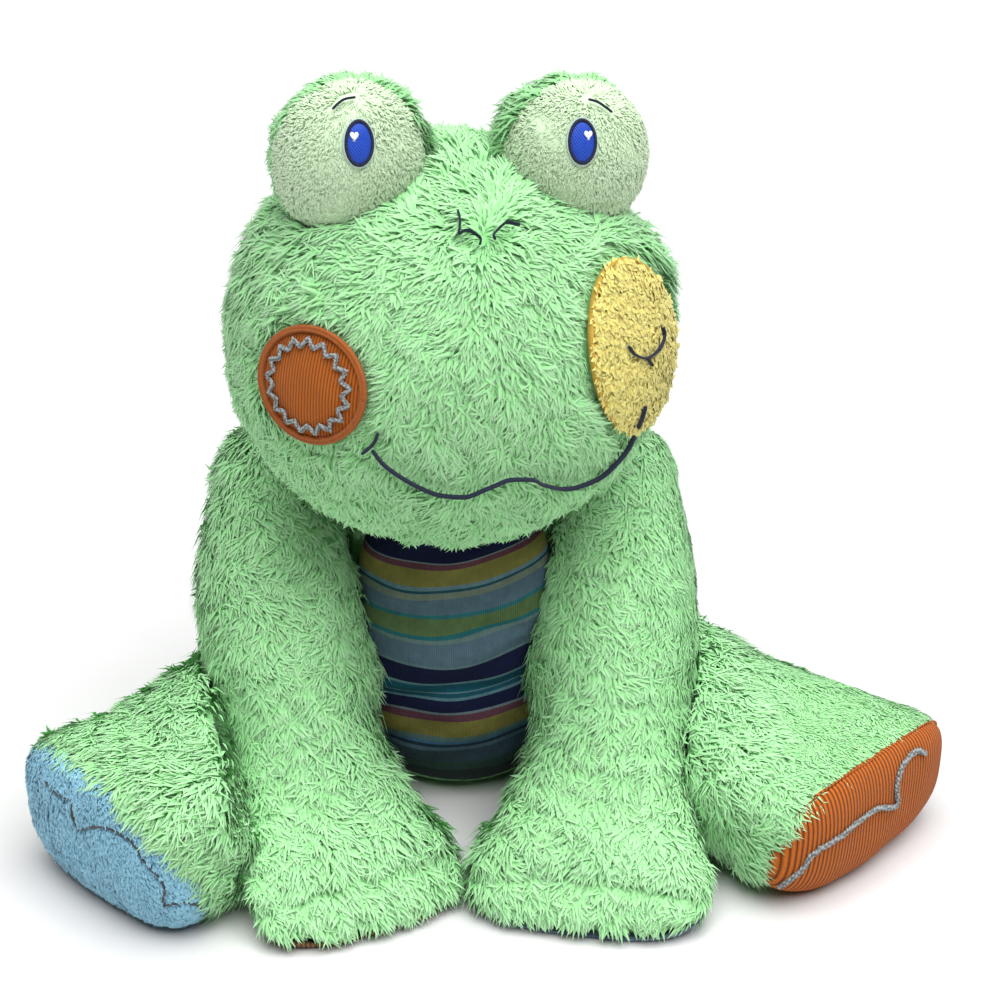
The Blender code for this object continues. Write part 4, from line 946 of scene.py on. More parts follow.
def jersey_stripes():
    """Bands by height on the object's own coordinates, bent by slow waves, with the knit's fine ribs.

    The bands tilt with x and sag with its square.
    """
    net = Effect("jersey stripes", {"Bend": 0.004}, ("Colour", "Height"))
    place = net.place()
    at = net.parts(place)
    slow = net.maths("SUBTRACT", net.noise(22.0, 1.0, 0.4), 0.5)
    height = net.maths("MULTIPLY_ADD", slow, net.takes["Bend"], at["Z"])
    height = net.maths("MULTIPLY_ADD", at["X"], STRIPE_TILT, height)
    height = net.maths("MULTIPLY_ADD", net.maths("MULTIPLY", at["X"], at["X"]), STRIPE_SAG, height)
    ramp = net.nodes.new("ShaderNodeValToRGB")
    ramp.color_ramp.interpolation = "CONSTANT"
    net.links.new(net.maths("MULTIPLY", height, 1000 / STRIPED_HEIGHT, clamp=True), ramp.inputs[0])
    stops = ramp.color_ramp.elements
    stops.remove(stops[-1])
    for index, (start, shown) in enumerate(STRIPES):
        stop = stops[0] if index == 0 else stops.new(start / STRIPED_HEIGHT)
        stop.position = start / STRIPED_HEIGHT
        stop.color = (*linear(*shown), 1)
    rows = net.maths("MULTIPLY_ADD", net.wave(place, "Z", 560.0, 0.6), 0.5, 0.5)
    stitch = net.maths("MULTIPLY", net.wave(place, "X", 480.0, 1.2), rows)
    # Random wear, and every stripe darkened to about half: painted shade of the belly under the head and arms. The
    # knit's rows are darker where they dip, which is painted shade too.
    wear_and_shade = net.maths("MULTIPLY_ADD", net.noise(260.0, 4.0, 0.7), 0.5, 0.28)
    shade = net.maths("MULTIPLY_ADD", stitch, 0.24, wear_and_shade)
    return net.give(Colour=net.scaled(ramp.outputs["Color"], shade), Height=stitch)


def start_finish(name, roughness, sheen=0.0):
    """A material with its net and its shader's sockets, on which its even values stand."""
    made = bpy.data.materials.new(name)
    made.use_nodes = True
    sockets = made.node_tree.nodes["Principled BSDF"].inputs
    for title, value in (("Roughness", roughness), ("Sheen Weight", sheen), ("Sheen Roughness", 0.5),
                         ("Specular IOR Level", 0.3)):
        sockets[title].default_value = value
    return made, Net(made.node_tree), sockets


def effect_finish(name, effect, takes, bump, roughness, sheen, share=None, dark=None, light=None):
    """A finish by one effect: its colour, or two colours by one of its shares, and a bump by its height.

    The bump is given as its strength and its distance.
    """
    made, net, sockets = start_finish(name, roughness, sheen)
    gives = net.add("Group", None, takes, node_tree=EFFECTS[effect])
    net.links.new(net.mix(gives[share], dark, light) if share else gives["Colour"], sockets["Base Color"])
    if bump:
        strength, distance = bump
        net.links.new(net.add("Bump", 0, {"Height": gives["Height"], "Strength": strength, "Distance": distance}),
                      sockets["Normal"])
    return made


def pile_finish(name, root, middle, tip, variation):
    """Long pile: darker roots as painted shade deep in the pile, pale tips."""
    takes = {"Root": (*root, 1), "Middle": (*middle, 1), "Tip": (*tip, 1), "Variation": variation}
    return effect_finish(name, "pile tint", takes, None, 0.9, 0.12)


def nap_finish(name, dark, light, fine, coarse, strength, distance):
    """Short pile or cloth: two colours by the nap's own shade, with its bump."""
    return effect_finish(name, "soft nap", {"Fine": fine, "Coarse": coarse}, (strength, distance), 0.95, 0.2, "Shade",
                         dark, light)


def corduroy_finish(name, groove, ridge, ribs, distance):
    return effect_finish(name, "wales", {"Ribs": ribs}, (0.9, distance), 0.95, 0.04, "Ridge", groove, ridge)


def satin_finish(name, dark, light, rows=22.0, slant=3.0, roughness=0.45):
    return effect_finish(name, "satin rows", {"Rows": rows, "Slant": slant}, (0.7, 0.00012), roughness, 0.1, "Shade",
                         dark, light)


def jersey_finish(name):
    return effect_finish(name, "jersey stripes", {}, (0.6, 0.0002), 0.95, 0.0)


EFFECTS, FINISHES = {}, {}
# Every finish: its key, its slot, its maker and its material's name, then its colours, as the eye reads them or by
# their name on the panel, and its other values
FINISH_TABLE = (
    ("fur", "green_fur", pile_finish, "green_pile", "fur_root", "fur_middle", "fur_tip", 0.32),
    ("fleece_pile", "pale_fleece", pile_finish, "pale_fleece_pile", (194, 224, 180), (206, 232, 192), "fleece", 0.2),
    ("terry_pile", "blue_terry", pile_finish, "blue_terry_pile", (104, 158, 184), (138, 200, 226), "terry", 0.4),
    ("sherpa_pile", "yellow_sherpa", pile_finish, "yellow_sherpa_pile", (164, 134, 54), (218, 202, 108), "yellow",
     0.6),
    ("backing", "green_fur", nap_finish, "green_backing", "fur_root", "fur_middle", 1400, 260, 0.8, 0.0008),
    ("fleece", "pale_fleece", nap_finish, "pale_fleece", (194, 224, 180), "fleece", 1500, 240, 0.4, 0.0004),
    ("yellow", "yellow_sherpa", nap_finish, "yellow_sherpa", (150, 136, 62), "yellow", 620, 300, 1.0, 0.0018),
    ("terry", "blue_terry", nap_finish, "blue_terry", (84, 132, 166), "terry", 900, 330, 0.9, 0.0014),
    ("slate", "slate_cloth", nap_finish, "slate_cloth", (58, 74, 94), (104, 124, 146), 1500, 300, 0.6, 0.0004),
    ("orange", "orange_corduroy", corduroy_finish, "orange_corduroy", (122, 60, 14), "orange", 94.0, 0.0004),
    ("sole_orange", "sole_corduroy", corduroy_finish, "sole_corduroy", (88, 40, 8), "sole_orange", 62.0, 0.0009),
    ("palm_orange", "palm_corduroy", corduroy_finish, "palm_corduroy", (60, 42, 26), (138, 104, 66), 62.0, 0.0006),
    ("navy", "navy_thread", satin_finish, "navy_thread", (4, 8, 22), (20, 30, 58), 22.0, 3.0, 0.6),
    ("blue", "blue_thread", satin_finish, "blue_thread", (4, 24, 104), "pupil", 110.0, 90.0, 0.5),
    ("halo", "white_thread", satin_finish, "halo_thread", (150, 176, 186), (196, 216, 206)),
    ("white", "white_thread", satin_finish, "white_thread", (214, 224, 236), (246, 250, 254), 3.2, 3.2),
    ("grey", "grey_thread", satin_finish, "grey_thread", (12, 16, 18), (150, 156, 156), 6.0, 1.0, 0.75),
    ("dark_grey", "grey_thread", satin_finish, "dark_grey_thread", (30, 34, 40), (74, 72, 76)),
    ("orange_thread", "orange_thread", satin_finish, "orange_thread", (96, 44, 8), (172, 92, 28), 22.0, 3.0, 0.6),
    ("gold", "gold_thread", satin_finish, "gold_thread", (132, 98, 20), (210, 172, 66)),
    ("jersey", "striped_jersey", jersey_finish, "striped_jersey"),
)


def make_finishes():
    """Every effect once, then every finish of the table."""
    EFFECTS.update({"pile tint": pile_tint(), "wales": wale_ribs(), "soft nap": soft_nap(),
                    "satin rows": satin_rows(), "jersey stripes": jersey_stripes()})
    panel = bpy.context.scene.frog_colours

    def seen(value):
        """A table's value: a colour as the shader wants it, or the number itself."""
        if isinstance(value, str):
            return tuple(getattr(panel, value))
        return linear(*value) if isinstance(value, tuple) else value

    for key, _, make, title, *values in FINISH_TABLE:
        FINISHES[key] = make(title, *(seen(value) for value in values))


# What each part keeps clear


def in_cheek(local, side, margin):
    """Which places of the head's surface lie in a cheek's outline, smaller all round by the margin."""
    origin, aside, up, out = cheek_place(side)
    width, height, _ = CHEEKS[side]
    across, rise = (local - origin) @ aside, (local - origin) @ up
    return (((across / (width / 2 - margin)) ** 2 + (rise / (height / 2 - margin)) ** 2) < 1) & (local @ out > 0)


# Sewn lines of the face, as places across and up from the middle of the piece they lie on
MOUTH_LINE = ((-0.0358, -0.0136), (-0.0319, -0.0185), (-0.0248, -0.0236), (-0.0175, -0.0274), (-0.0132, -0.0286),
              (-0.0063, -0.0289), (-0.0015, -0.0266), (0.0027, -0.0245), (0.0069, -0.0229), (0.0145, -0.0238),
              (0.0183, -0.0263), (0.0267, -0.0298), (0.0335, -0.0300), (0.0398, -0.0287), (0.0442, -0.0256),
              (0.0480, -0.0215), (0.0505, -0.0160))
MOUTH_TICK = ((-0.0343, -0.0074), (-0.0355, -0.0114), (-0.0386, -0.0157))
MOUTH_END = ((-0.0033, -0.0176), (-0.0040, -0.0215), (-0.0051, -0.0250))
NOSTRIL_LINES = {
    RIGHT: ((-0.0079, 0.0551), (-0.0077, 0.0532), (-0.0081, 0.0514), (-0.0086, 0.0498), (-0.0068, 0.0505),
            (-0.0049, 0.0504), (-0.0032, 0.0495), (-0.0022, 0.0486), (-0.0027, 0.0471)),
    LEFT: ((0.0025, 0.0483), (0.0021, 0.0495), (0.0038, 0.0508), (0.0054, 0.0517), (0.0070, 0.0523), (0.0090, 0.0519),
           (0.0111, 0.0514)),
}
DIMPLE_LINE = ((-0.0109, 0.0038), (-0.0085, 0.0005), (-0.0029, -0.0019), (0.0045, -0.0011), (0.0090, 0.0021),
               (0.0085, 0.0047))
DIMPLE_TAIL = ((-0.0033, -0.0018), (-0.0018, -0.0034), (-0.0003, -0.0052))
BROW_LINES = {
    RIGHT: ((-0.0074, 0.0186), (-0.0055, 0.0202), (-0.0033, 0.0214), (0.0000, 0.0219)),
    LEFT: ((0.0001, 0.0213), (0.0032, 0.0205), (0.0063, 0.0186), (0.0078, 0.0175)),
}
PUPIL_PLACES = {RIGHT: (0.0003, 0.0095), LEFT: (-0.0023, 0.0095)}
PUPIL_HALF_WIDTH, PUPIL_HALF_HEIGHT, PUPIL_GAP = 0.0038, 0.0060, 0.0016
# The toe lines, as places across, up and out from the middle of the foot's last full section
TOE_LINES = {
    RIGHT: ((-0.0174, 0.0436, 0.0176), (-0.0087, 0.0426, 0.0177), (-0.0024, 0.0430, 0.0173),
            (-0.0015, 0.0377, 0.0176), (0.0012, 0.0335, 0.0173), (0.0073, 0.0374, 0.0170),
            (0.0165, 0.0411, 0.0161), (0.0245, 0.0412, 0.0147),
            (0.0290, 0.0395, 0.0136), (0.0334, 0.0336, 0.0120), (0.0368, 0.0290, 0.0094), (0.0376, 0.0243, 0.0086),
            (0.0362, 0.0176, 0.0085), (0.0385, 0.0182, 0.0070), (0.0413, 0.0188, 0.0038), (0.0427, 0.0165, -0.0004),
            (0.0436, 0.0115, -0.0040)),
    LEFT: ((0.0215, 0.0386, 0.0166), (0.0163, 0.0418, 0.0161), (0.0085, 0.0410, 0.0166), (0.0043, 0.0372, 0.0173),
           (0.0035, 0.0320, 0.0174), (0.0050, 0.0268, 0.0171), (0.0023, 0.0262, 0.0171), (-0.0066, 0.0298, 0.0172),
           (-0.0145, 0.0298, 0.0170), (-0.0218, 0.0290, 0.0165), (-0.0265, 0.0273, 0.0158), (-0.0329, 0.0258, 0.0144),
           (-0.0379, 0.0237, 0.0124), (-0.0397, 0.0192, 0.0111), (-0.0428, 0.0140, 0.0075),
           (-0.0445, 0.0085, 0.0040)),
}


def near_path(points, path, reach):
    """Which points lie nearer than the reach to a path of points."""
    found = np.zeros(len(points), dtype=bool)
    for start in range(0, len(path), 40):
        gap = np.linalg.norm(points[:, None] - path[None, start:start + 40], axis=-1).min(1)
        found |= gap < reach
    return found


# Where the head's pile is fuller, and short or left out by the cheeks and the sewn lines
TEMPLE_HEIGHT, TEMPLE_SPREAD, TEMPLE_GAIN = 0.036, 0.016, 0.75
TOP_HEIGHT, TOP_GAIN = 0.056, 0.50
CHEEK_SHORT_PILE, CHEEK_UNDERLAP, SHORT_SHARE = 0.0030, 0.0012, 0.62
# Each sewn line's path on the head, how near to it locks change, and the share of their length that is left
FACE_PATHS = []


def head_keep(points, normals):
    """Full pile on the head, none under cheeks and eyes, half by the neck, and short pile by the embroidery."""
    local = to_head(points)
    share = np.ones(len(points))
    temple = bell(local[:, 2], TEMPLE_HEIGHT, TEMPLE_SPREAD) * rising(np.abs(local[:, 0]), 0.035, 0.030)
    share = share + TEMPLE_GAIN * temple + TOP_GAIN * rising(local[:, 2], TOP_HEIGHT, 0.008)
    for side in (RIGHT, LEFT):
        share[in_cheek(local, side, -CHEEK_SHORT_PILE)] *= SHORT_SHARE
        share[in_cheek(local, side, CHEEK_UNDERLAP)] = 0
        share[EYE_EGG[side].out(local) < 0.97] = 0
    share[in_body(points, 0.8, 0)] *= 0.5
    for path, reach, left in FACE_PATHS:
        share[near_path(points, path, reach)] *= left
    return share


class FROG_PG_pile(bpy.types.PropertyGroup):
    """Sizes of the long pile."""
    length: bpy.props.FloatProperty(name="Length", description="From root to tip of a lock", default=0.0070,
                                    unit="LENGTH", precision=4)
    width: bpy.props.FloatProperty(name="Width", description="Across a lock at its middle", default=0.0012,
                                   unit="LENGTH", precision=5)
    density: bpy.props.FloatProperty(name="Density", description="Locks to a square centimetre", default=185.0)
    lift: bpy.props.FloatProperty(name="Lift", description="Degrees that a lock leaves the cloth at", default=31.0)
    depth: bpy.props.FloatProperty(name="Depth", description="Backing cloth below the middle of the pile",
                                   default=0.003, unit="LENGTH", precision=4)


class FROG_PG_threads(bpy.types.PropertyGroup):
    """Widths of the sewn lines."""
    mouth: bpy.props.FloatProperty(name="Mouth", description="Width of the mouth line", default=0.0012,
                                   unit="LENGTH", precision=4)
    brow: bpy.props.FloatProperty(name="Brow", description="Width of a brow line", default=0.0008,
                                  unit="LENGTH", precision=4)
    nostril: bpy.props.FloatProperty(name="Nostril", description="Width of a nostril line", default=0.0008,
                                     unit="LENGTH", precision=4)
    toe: bpy.props.FloatProperty(name="Braid", description="Width of the braid on the left sole and the right cheek",
                                 default=0.0021, unit="LENGTH", precision=4)
    sunk: bpy.props.FloatProperty(name="Sunk line", description="Width of the thin line on the right sole",
                                  default=0.0009, unit="LENGTH", precision=4)


def shade(name, description, shown):
    """A colour for the panel, given as the eye reads it."""
    return bpy.props.FloatVectorProperty(name=name, description=description, subtype="COLOR", size=3, min=0, max=1,
                                         default=linear(*shown))


class FROG_PG_colours(bpy.types.PropertyGroup):
    """Colours of the pile, the patches and the pupils."""
    # The root is darker than the middle and the tip: painted shade deep in the pile.
    fur_root: shade("Fur root", "Pile at the cloth", (120, 188, 116))
    fur_middle: shade("Fur middle", "Pile half way up", (152, 218, 148))
    fur_tip: shade("Fur tip", "Pile at its tips", (188, 234, 184))
    fleece: shade("Eye fleece", "Short pile on the eyes", (228, 248, 216))
    orange: shade("Cheek corduroy", "Ridges of the right cheek", (184, 98, 28))
    sole_orange: shade("Sole corduroy", "Ridges of the left sole", (198, 104, 30))
    yellow: shade("Cheek sherpa", "Curls of the left cheek", (242, 234, 150))
    terry: shade("Sole terry", "Loops of the right sole", (176, 226, 246))
    pupil: shade("Pupil", "Satin of the pupils", (30, 78, 196))


class FROG_OT_finishes(bpy.types.Operator):
    """Make the shared effects and every cloth, pile and thread"""
    bl_idname = "frog.finishes"
    bl_label = "Finishes"

    def execute(self, context):
        make_finishes()
        return {"FINISHED"}


class FROG_OT_body(bpy.types.Operator):
    """Make the stuffed body's backing cloth and its pile"""
    bl_idname = "frog.body"
    bl_label = "Body"

    def execute(self, context):
        depth = context.scene.frog_pile.depth
        points, faces = grown(body_form(), -depth)
        # deeper under the jersey, so that its creases have room
        up = (points[:, 2] - BELLY_MIDDLE) / BELLY_HALF
        reach = np.abs(points[:, 0] / belly_half_width(up.clip(-1, 1))) ** BELLY_CORNERS
        inside = rising(-reach - np.abs(up) ** BELLY_CORNERS, -1.10, 0.15)
        points[:, 1] += CREASE_ROOM * inside * rising(-points[:, 1], 0, 0.01)
        form = above_floor(off_head(points, HEAD_CLEARANCE + depth)), faces
        put_backing("body_backing", form, "torso", ("body_shell", "body_stuffing", "seat_bean_bag"))

        def combed(roots, normals):
            """Down, and outwards from the middle of the belly."""
            return np.stack((BODY_COMB * roots[:, 0], np.full(len(roots), BODY_COMB_FORWARD),
                             -np.ones(len(roots))), -1)

        def keep(roots, normals):
            """None under the jersey, the limbs and the seat's front, and short by the head and on the floor."""
            share = np.ones(len(roots))
            aside, forward, height = roots.T
            up = (height - BELLY_MIDDLE) / (BELLY_HALF - PILE_OVERLAP + BELLY_DROP * (height < BELLY_MIDDLE))
            oval_reach = np.abs(aside / belly_half_width(up.clip(-1, 1), PILE_OVERLAP)) ** BELLY_CORNERS
            share[(forward < 0) & (oval_reach + np.abs(up) ** BELLY_CORNERS < 1)] = 0
            share[(forward < -0.008) & (height < 0.012) & (np.abs(aside) < 0.036)] = 0
            for limb in (*ARMS.values(), *LEGS.values()):
                share[limb.measured(roots)[1] < 1.02] = 0
            share[HEAD_EGG.out(to_head(roots)) < 1.12] *= 0.45
            share[height < 0.002] *= 0.4
            return share

        grow_pile("body", form, combed, keep, "torso", SEEDS["body"], pieces=2)
        return {"FINISHED"}


class FROG_OT_belly(bpy.types.Operator):
    """Make the striped jersey panel of the belly"""
    bl_idname = "frog.belly"
    bl_label = "Belly"

    def execute(self, context):
        def outline(turn):
            """An oval with full corners, down to the seat."""
            cosine, sine = np.cos(turn), np.sin(turn)
            full = (np.abs(cosine) ** BELLY_CORNERS + np.abs(sine) ** BELLY_CORNERS) ** (-1 / BELLY_CORNERS)
            down = BELLY_HALF + BELLY_DROP * (sine < 0)
            return belly_half_width(sine) * full * cosine, BELLY_MIDDLE + down * full * sine

        def surface(across, up):
            """The body's front at a place seen from straight ahead, and the way out from its middle line."""
            half_wide, half_deep, centre = body_section(up)
            inside = np.sqrt(np.maximum(1 - (across / half_wide) ** 2, 0.002))
            step = 0.0005
            above, below = body_section(up + step), body_section(up - step)
            slope = ((above[2] - above[1] * inside) - (below[2] - below[1] * inside)) / (2 * step)
            normal = np.stack((across / half_wide ** 2 * half_deep / inside, -np.ones_like(across), slope), -1)
            return np.stack((across, centre - half_deep * inside, up), -1), unit(normal)

        def lift(across, up, share):
            """Level with the pile's middle, tucked in at the edge, with creases that run across."""
            place = np.stack((across * 0.55, up * 1.5, 0 * up), -1)
            creases = (0.0012 * ripple(place, 0.030, FORM_SEEDS["creases"])
                       + 0.0008 * ripple(place, 0.014, FORM_SEEDS["fine creases"]))
            folds = (0.0018 * bell(up - 0.12 * across, 0.052, 0.0035)
                     + 0.0014 * bell(up + 0.10 * across, 0.078, 0.0030))
            return CLOTH_THICKNESS - PANEL_RECESS + creases * (1 - share ** 6) - folds - 0.0030 * share ** 14

        pad("belly_jersey", outline, surface, "jersey", "torso", ("belly_panel",), lift, 90, 220)
        return {"FINISHED"}


class FROG_OT_neck(bpy.types.Operator):
    """Make the soft stuffed neck between body and head"""
    bl_idname = "frog.neck"
    bl_label = "Neck"

    def execute(self, context):
        points, faces = egg_form(np.full(3, NECK_RADIUS - 0.0006), np.eye(3), np.array(NECK), 48, 64)
        outward = unit(points - np.array(NECK))
        folds = 0.0005 * np.sin(9 * np.arctan2(outward[:, 1], outward[:, 0]))
        put_backing("neck_sleeve", (points + outward * folds[:, None], faces), "neck", ("neck_stuffing",),
                    "polyester_fill")
        return {"FINISHED"}


class FROG_OT_head(bpy.types.Operator):
    """Make the stuffed head's backing cloth and its pile"""
    bl_idname = "frog.head"
    bl_label = "Head"

    def execute(self, context):
        depth = context.scene.frog_pile.depth
        points, faces = egg_form(HEAD_HALVES, HEAD_TILTED, np.zeros(3), 84, 140)
        uneven = 0.0006 * ripple(points, 0.04, FORM_SEEDS["head"])
        points = points + normals_of((points, faces)) * (uneven - depth)[:, None]
        form = to_frog(points), faces
        put_backing("head_backing", form, "head", ("head_shell", "head_stuffing"))
        crown = to_frog(CROWN)

        def combed(roots, normals):
            """Away from the spot between the eyes, and down."""
            return unit(roots - crown) + HANG

        grow_pile("head", form, combed, head_keep, "head", SEEDS["head"], pieces=3,
                  density=HEAD_DENSITY)
        return {"FINISHED"}


class FROG_OT_eyes(bpy.types.Operator):
    """Make both eye domes with their pile and their pale fleece fronts"""
    bl_idname = "frog.eyes"
    bl_label = "Eyes"

    def execute(self, context):
        for side, name in SIDES:
            egg = EYE_EGG[side]
            points, faces = egg_form(EYE_HALVES, np.eye(3), egg.centre, 48, 72)
            points = grown((points, faces), -context.scene.frog_pile.depth * DOME_DEPTH_SHARE)[0]
            form = to_frog(points), faces
            put_backing(name + "_eye_backing", form, "head", (name + "_eye_dome", name + "_eye_stuffing"))

            def combed(roots, normals):
                """Back from the edge of the fleece and down."""
                return turned_to_frog(HANG_OF_EYES) + np.zeros_like(roots)

            def keep(roots, normals, egg=egg, side=side):
                """Fuller on the inner side than on the outer, and none in front of the fleece's edge."""
                local = to_head(roots)
                outer = side * (local[:, 0] - egg.centre[0]) / EYE_HALVES[0]
                outer_loss = 0.35 if side == LEFT else 0.10
                share = 0.95 + 0.60 * (-outer).clip(0, 1) - outer_loss * outer.clip(0, 1)
                share[local[:, 1] < egg.centre[1] - PATCH_PLANE - 0.0006] = 0
                share[HEAD_EGG.out(local) < 0.96] = 0
                return share

            grow_pile(name + "_eye", form, combed, keep, "head", SEEDS["eye"] + side,
                      density=EYE_DENSITY)

            def surface(across, up, egg=egg):
                """The eye's front by the angle from straight ahead: the outline's reach is that angle."""
                angle, turn = np.hypot(across, up), np.arctan2(up, across)
                ball = np.stack((np.sin(angle) * np.cos(turn), -np.cos(angle), np.sin(angle) * np.sin(turn)), -1)
                return to_frog(egg.centre + ball * EYE_HALVES), turned_to_frog(unit(ball / EYE_HALVES))

            def lift(across, up, share, side=side):
                """Level with the pile's middle, gently uneven, tucked in at the edge."""
                place = np.stack((across, up, 0 * up), -1)
                uneven = 0.0004 * ripple(place, 0.7, FORM_SEEDS["fleece"] + side)
                return FLEECE_DEPTH - PANEL_RECESS + uneven - 0.0028 * share ** 12

            rim = math.acos(PATCH_PLANE / EYE_HALVES[1])
            pad(name + "_eye_fleece", oval(rim, rim), surface, "fleece", "head", (name + "_eye_patch",), lift)

            def front_keep(roots, normals, egg=egg, side=side):
                """The front cap, but not the pupil and the brow."""
                local = to_head(roots) - egg.centre
                across, up = PUPIL_PLACES[side]
                share = (local[:, 1] < -PATCH_PLANE + 0.0004).astype(float)
                share[((local[:, 0] - across) / (PUPIL_HALF_WIDTH + PUPIL_GAP)) ** 2
                      + ((local[:, 2] - up) / (PUPIL_HALF_HEIGHT + PUPIL_GAP)) ** 2 < 1] = 0
                brow = np.array(even_line(BROW_LINES[side], 30))
                share[np.linalg.norm(local[:, None, (0, 2)] - brow[None], axis=-1).min(1) < 0.0009] = 0
                share[HEAD_EGG.out(to_head(roots)) < 0.98] = 0
                return share

            front = to_frog(egg_form(EYE_HALVES - FLEECE_DEPTH, np.eye(3), egg.centre, 48, 72)[0]), faces
            grow_pile(name + "_fleece", front, combed, front_keep, "head", SEEDS["fleece"] + side, "fleece_pile",
                      **SHORT_PILES["fleece"])
        return {"FINISHED"}


class FROG_OT_pupils(bpy.types.Operator):
    """Make the satin pupils with their rims and highlights, and the brow lines"""
    bl_idname = "frog.pupils"
    bl_label = "Pupils and brows"

    def execute(self, context):
        for side, name in SIDES:
            place = facing(EYE_EGG[side].centre, (0, -1, 0))
            middle = PUPIL_PLACES[side]
            surface = laid_on(EYE_EGG[side], place)
            pad(name + "_pupil_satin", oval(PUPIL_HALF_WIDTH, PUPIL_HALF_HEIGHT, middle), surface, "blue", "head",
                (name + "_pupil",), lambda across, up, share: 0.0005 + 0.0006 * (1 - share ** 4), 20, 72, 0.0009)
            for title, grow, finish, width, raised in (("_pupil_rim", 0.0003, "navy", 0.0010, 0.0006),
                                                       ("_pupil_halo", 0.0010, "halo", 0.0006, 0.0003)):
                ring = oval_ring(PUPIL_HALF_WIDTH + grow, PUPIL_HALF_HEIGHT + grow, 40, middle)
                path, normals = line_on(EYE_EGG[side], ring, place, 120, raised, True)
                stitched_line(name + title, path, normals, width, TALL["ring"], finish, "head", closed=True)

            def heart(turn, middle=middle, side=side):
                """A small heart: the cubed sine across, and the heart's four cosines up."""
                rise = 13 * np.cos(turn) - 5 * np.cos(2 * turn) - 2 * np.cos(3 * turn) - np.cos(4 * turn)
                return (middle[0] + side * 0.0016 + 0.0013 * np.sin(turn) ** 3,
                        middle[1] + 0.0020 + 0.0014 * (rise + 2.5) / 15)

            pad(name + "_eye_shine", heart, surface, "white", "head", (name + "_eye_highlight",),
                lambda across, up, share: 0.0013 + 0.0003 * (1 - share ** 3), 8, 36, 0.0006)
            path, normals = line_on(EYE_EGG[side], BROW_LINES[side], place, 50, ABOVE["brow"])
            stitched_line(name + "_brow_line", path, normals, context.scene.frog_threads.brow, TALL["brow"], "navy",
                          "head", (name + "_brow_stitch",))
        return {"FINISHED"}


class FROG_OT_face(bpy.types.Operator):
    """Sew the mouth, its tick and the two nostrils"""
    bl_idname = "frog.face"
    bl_label = "Mouth and nostrils"

    def execute(self, context):
        threads = context.scene.frog_threads
        front = facing((0, 0, 0), (0, -1, 0))
        # each kind of line: its width, its height on the head, and how far locks stand off it and are short by it
        mouth = threads.mouth, 0.0022, 0.0012, 0.0034
        nostril = threads.nostril, 0.0013, 0.0005, 0.0026
        for title, line, kind, replaced, count in (
                ("mouth_line", MOUTH_LINE, mouth, "mouth_stitch", 240),
                ("mouth_tick", MOUTH_TICK, mouth, "right_mouth_tick", 70),
                ("right_nostril_line", NOSTRIL_LINES[RIGHT], nostril, "right_nostril_stitch", 70),
                ("left_nostril_line", NOSTRIL_LINES[LEFT], nostril, "left_nostril_stitch", 70)):
            width, raised, bare, short = kind
            path, normals = line_on(HEAD_EGG, line, front, count, raised)
            stitched_line(title, path, normals, width, TALL["face"], "navy", "head", (replaced,))
            base = line_on(HEAD_EGG, line, front, 90 if title == "mouth_line" else 25, -0.003)[0]
            FACE_PATHS.extend(((base, bare, 0.0), (base, short, SHORT_SHARE)))
        return {"FINISHED"}


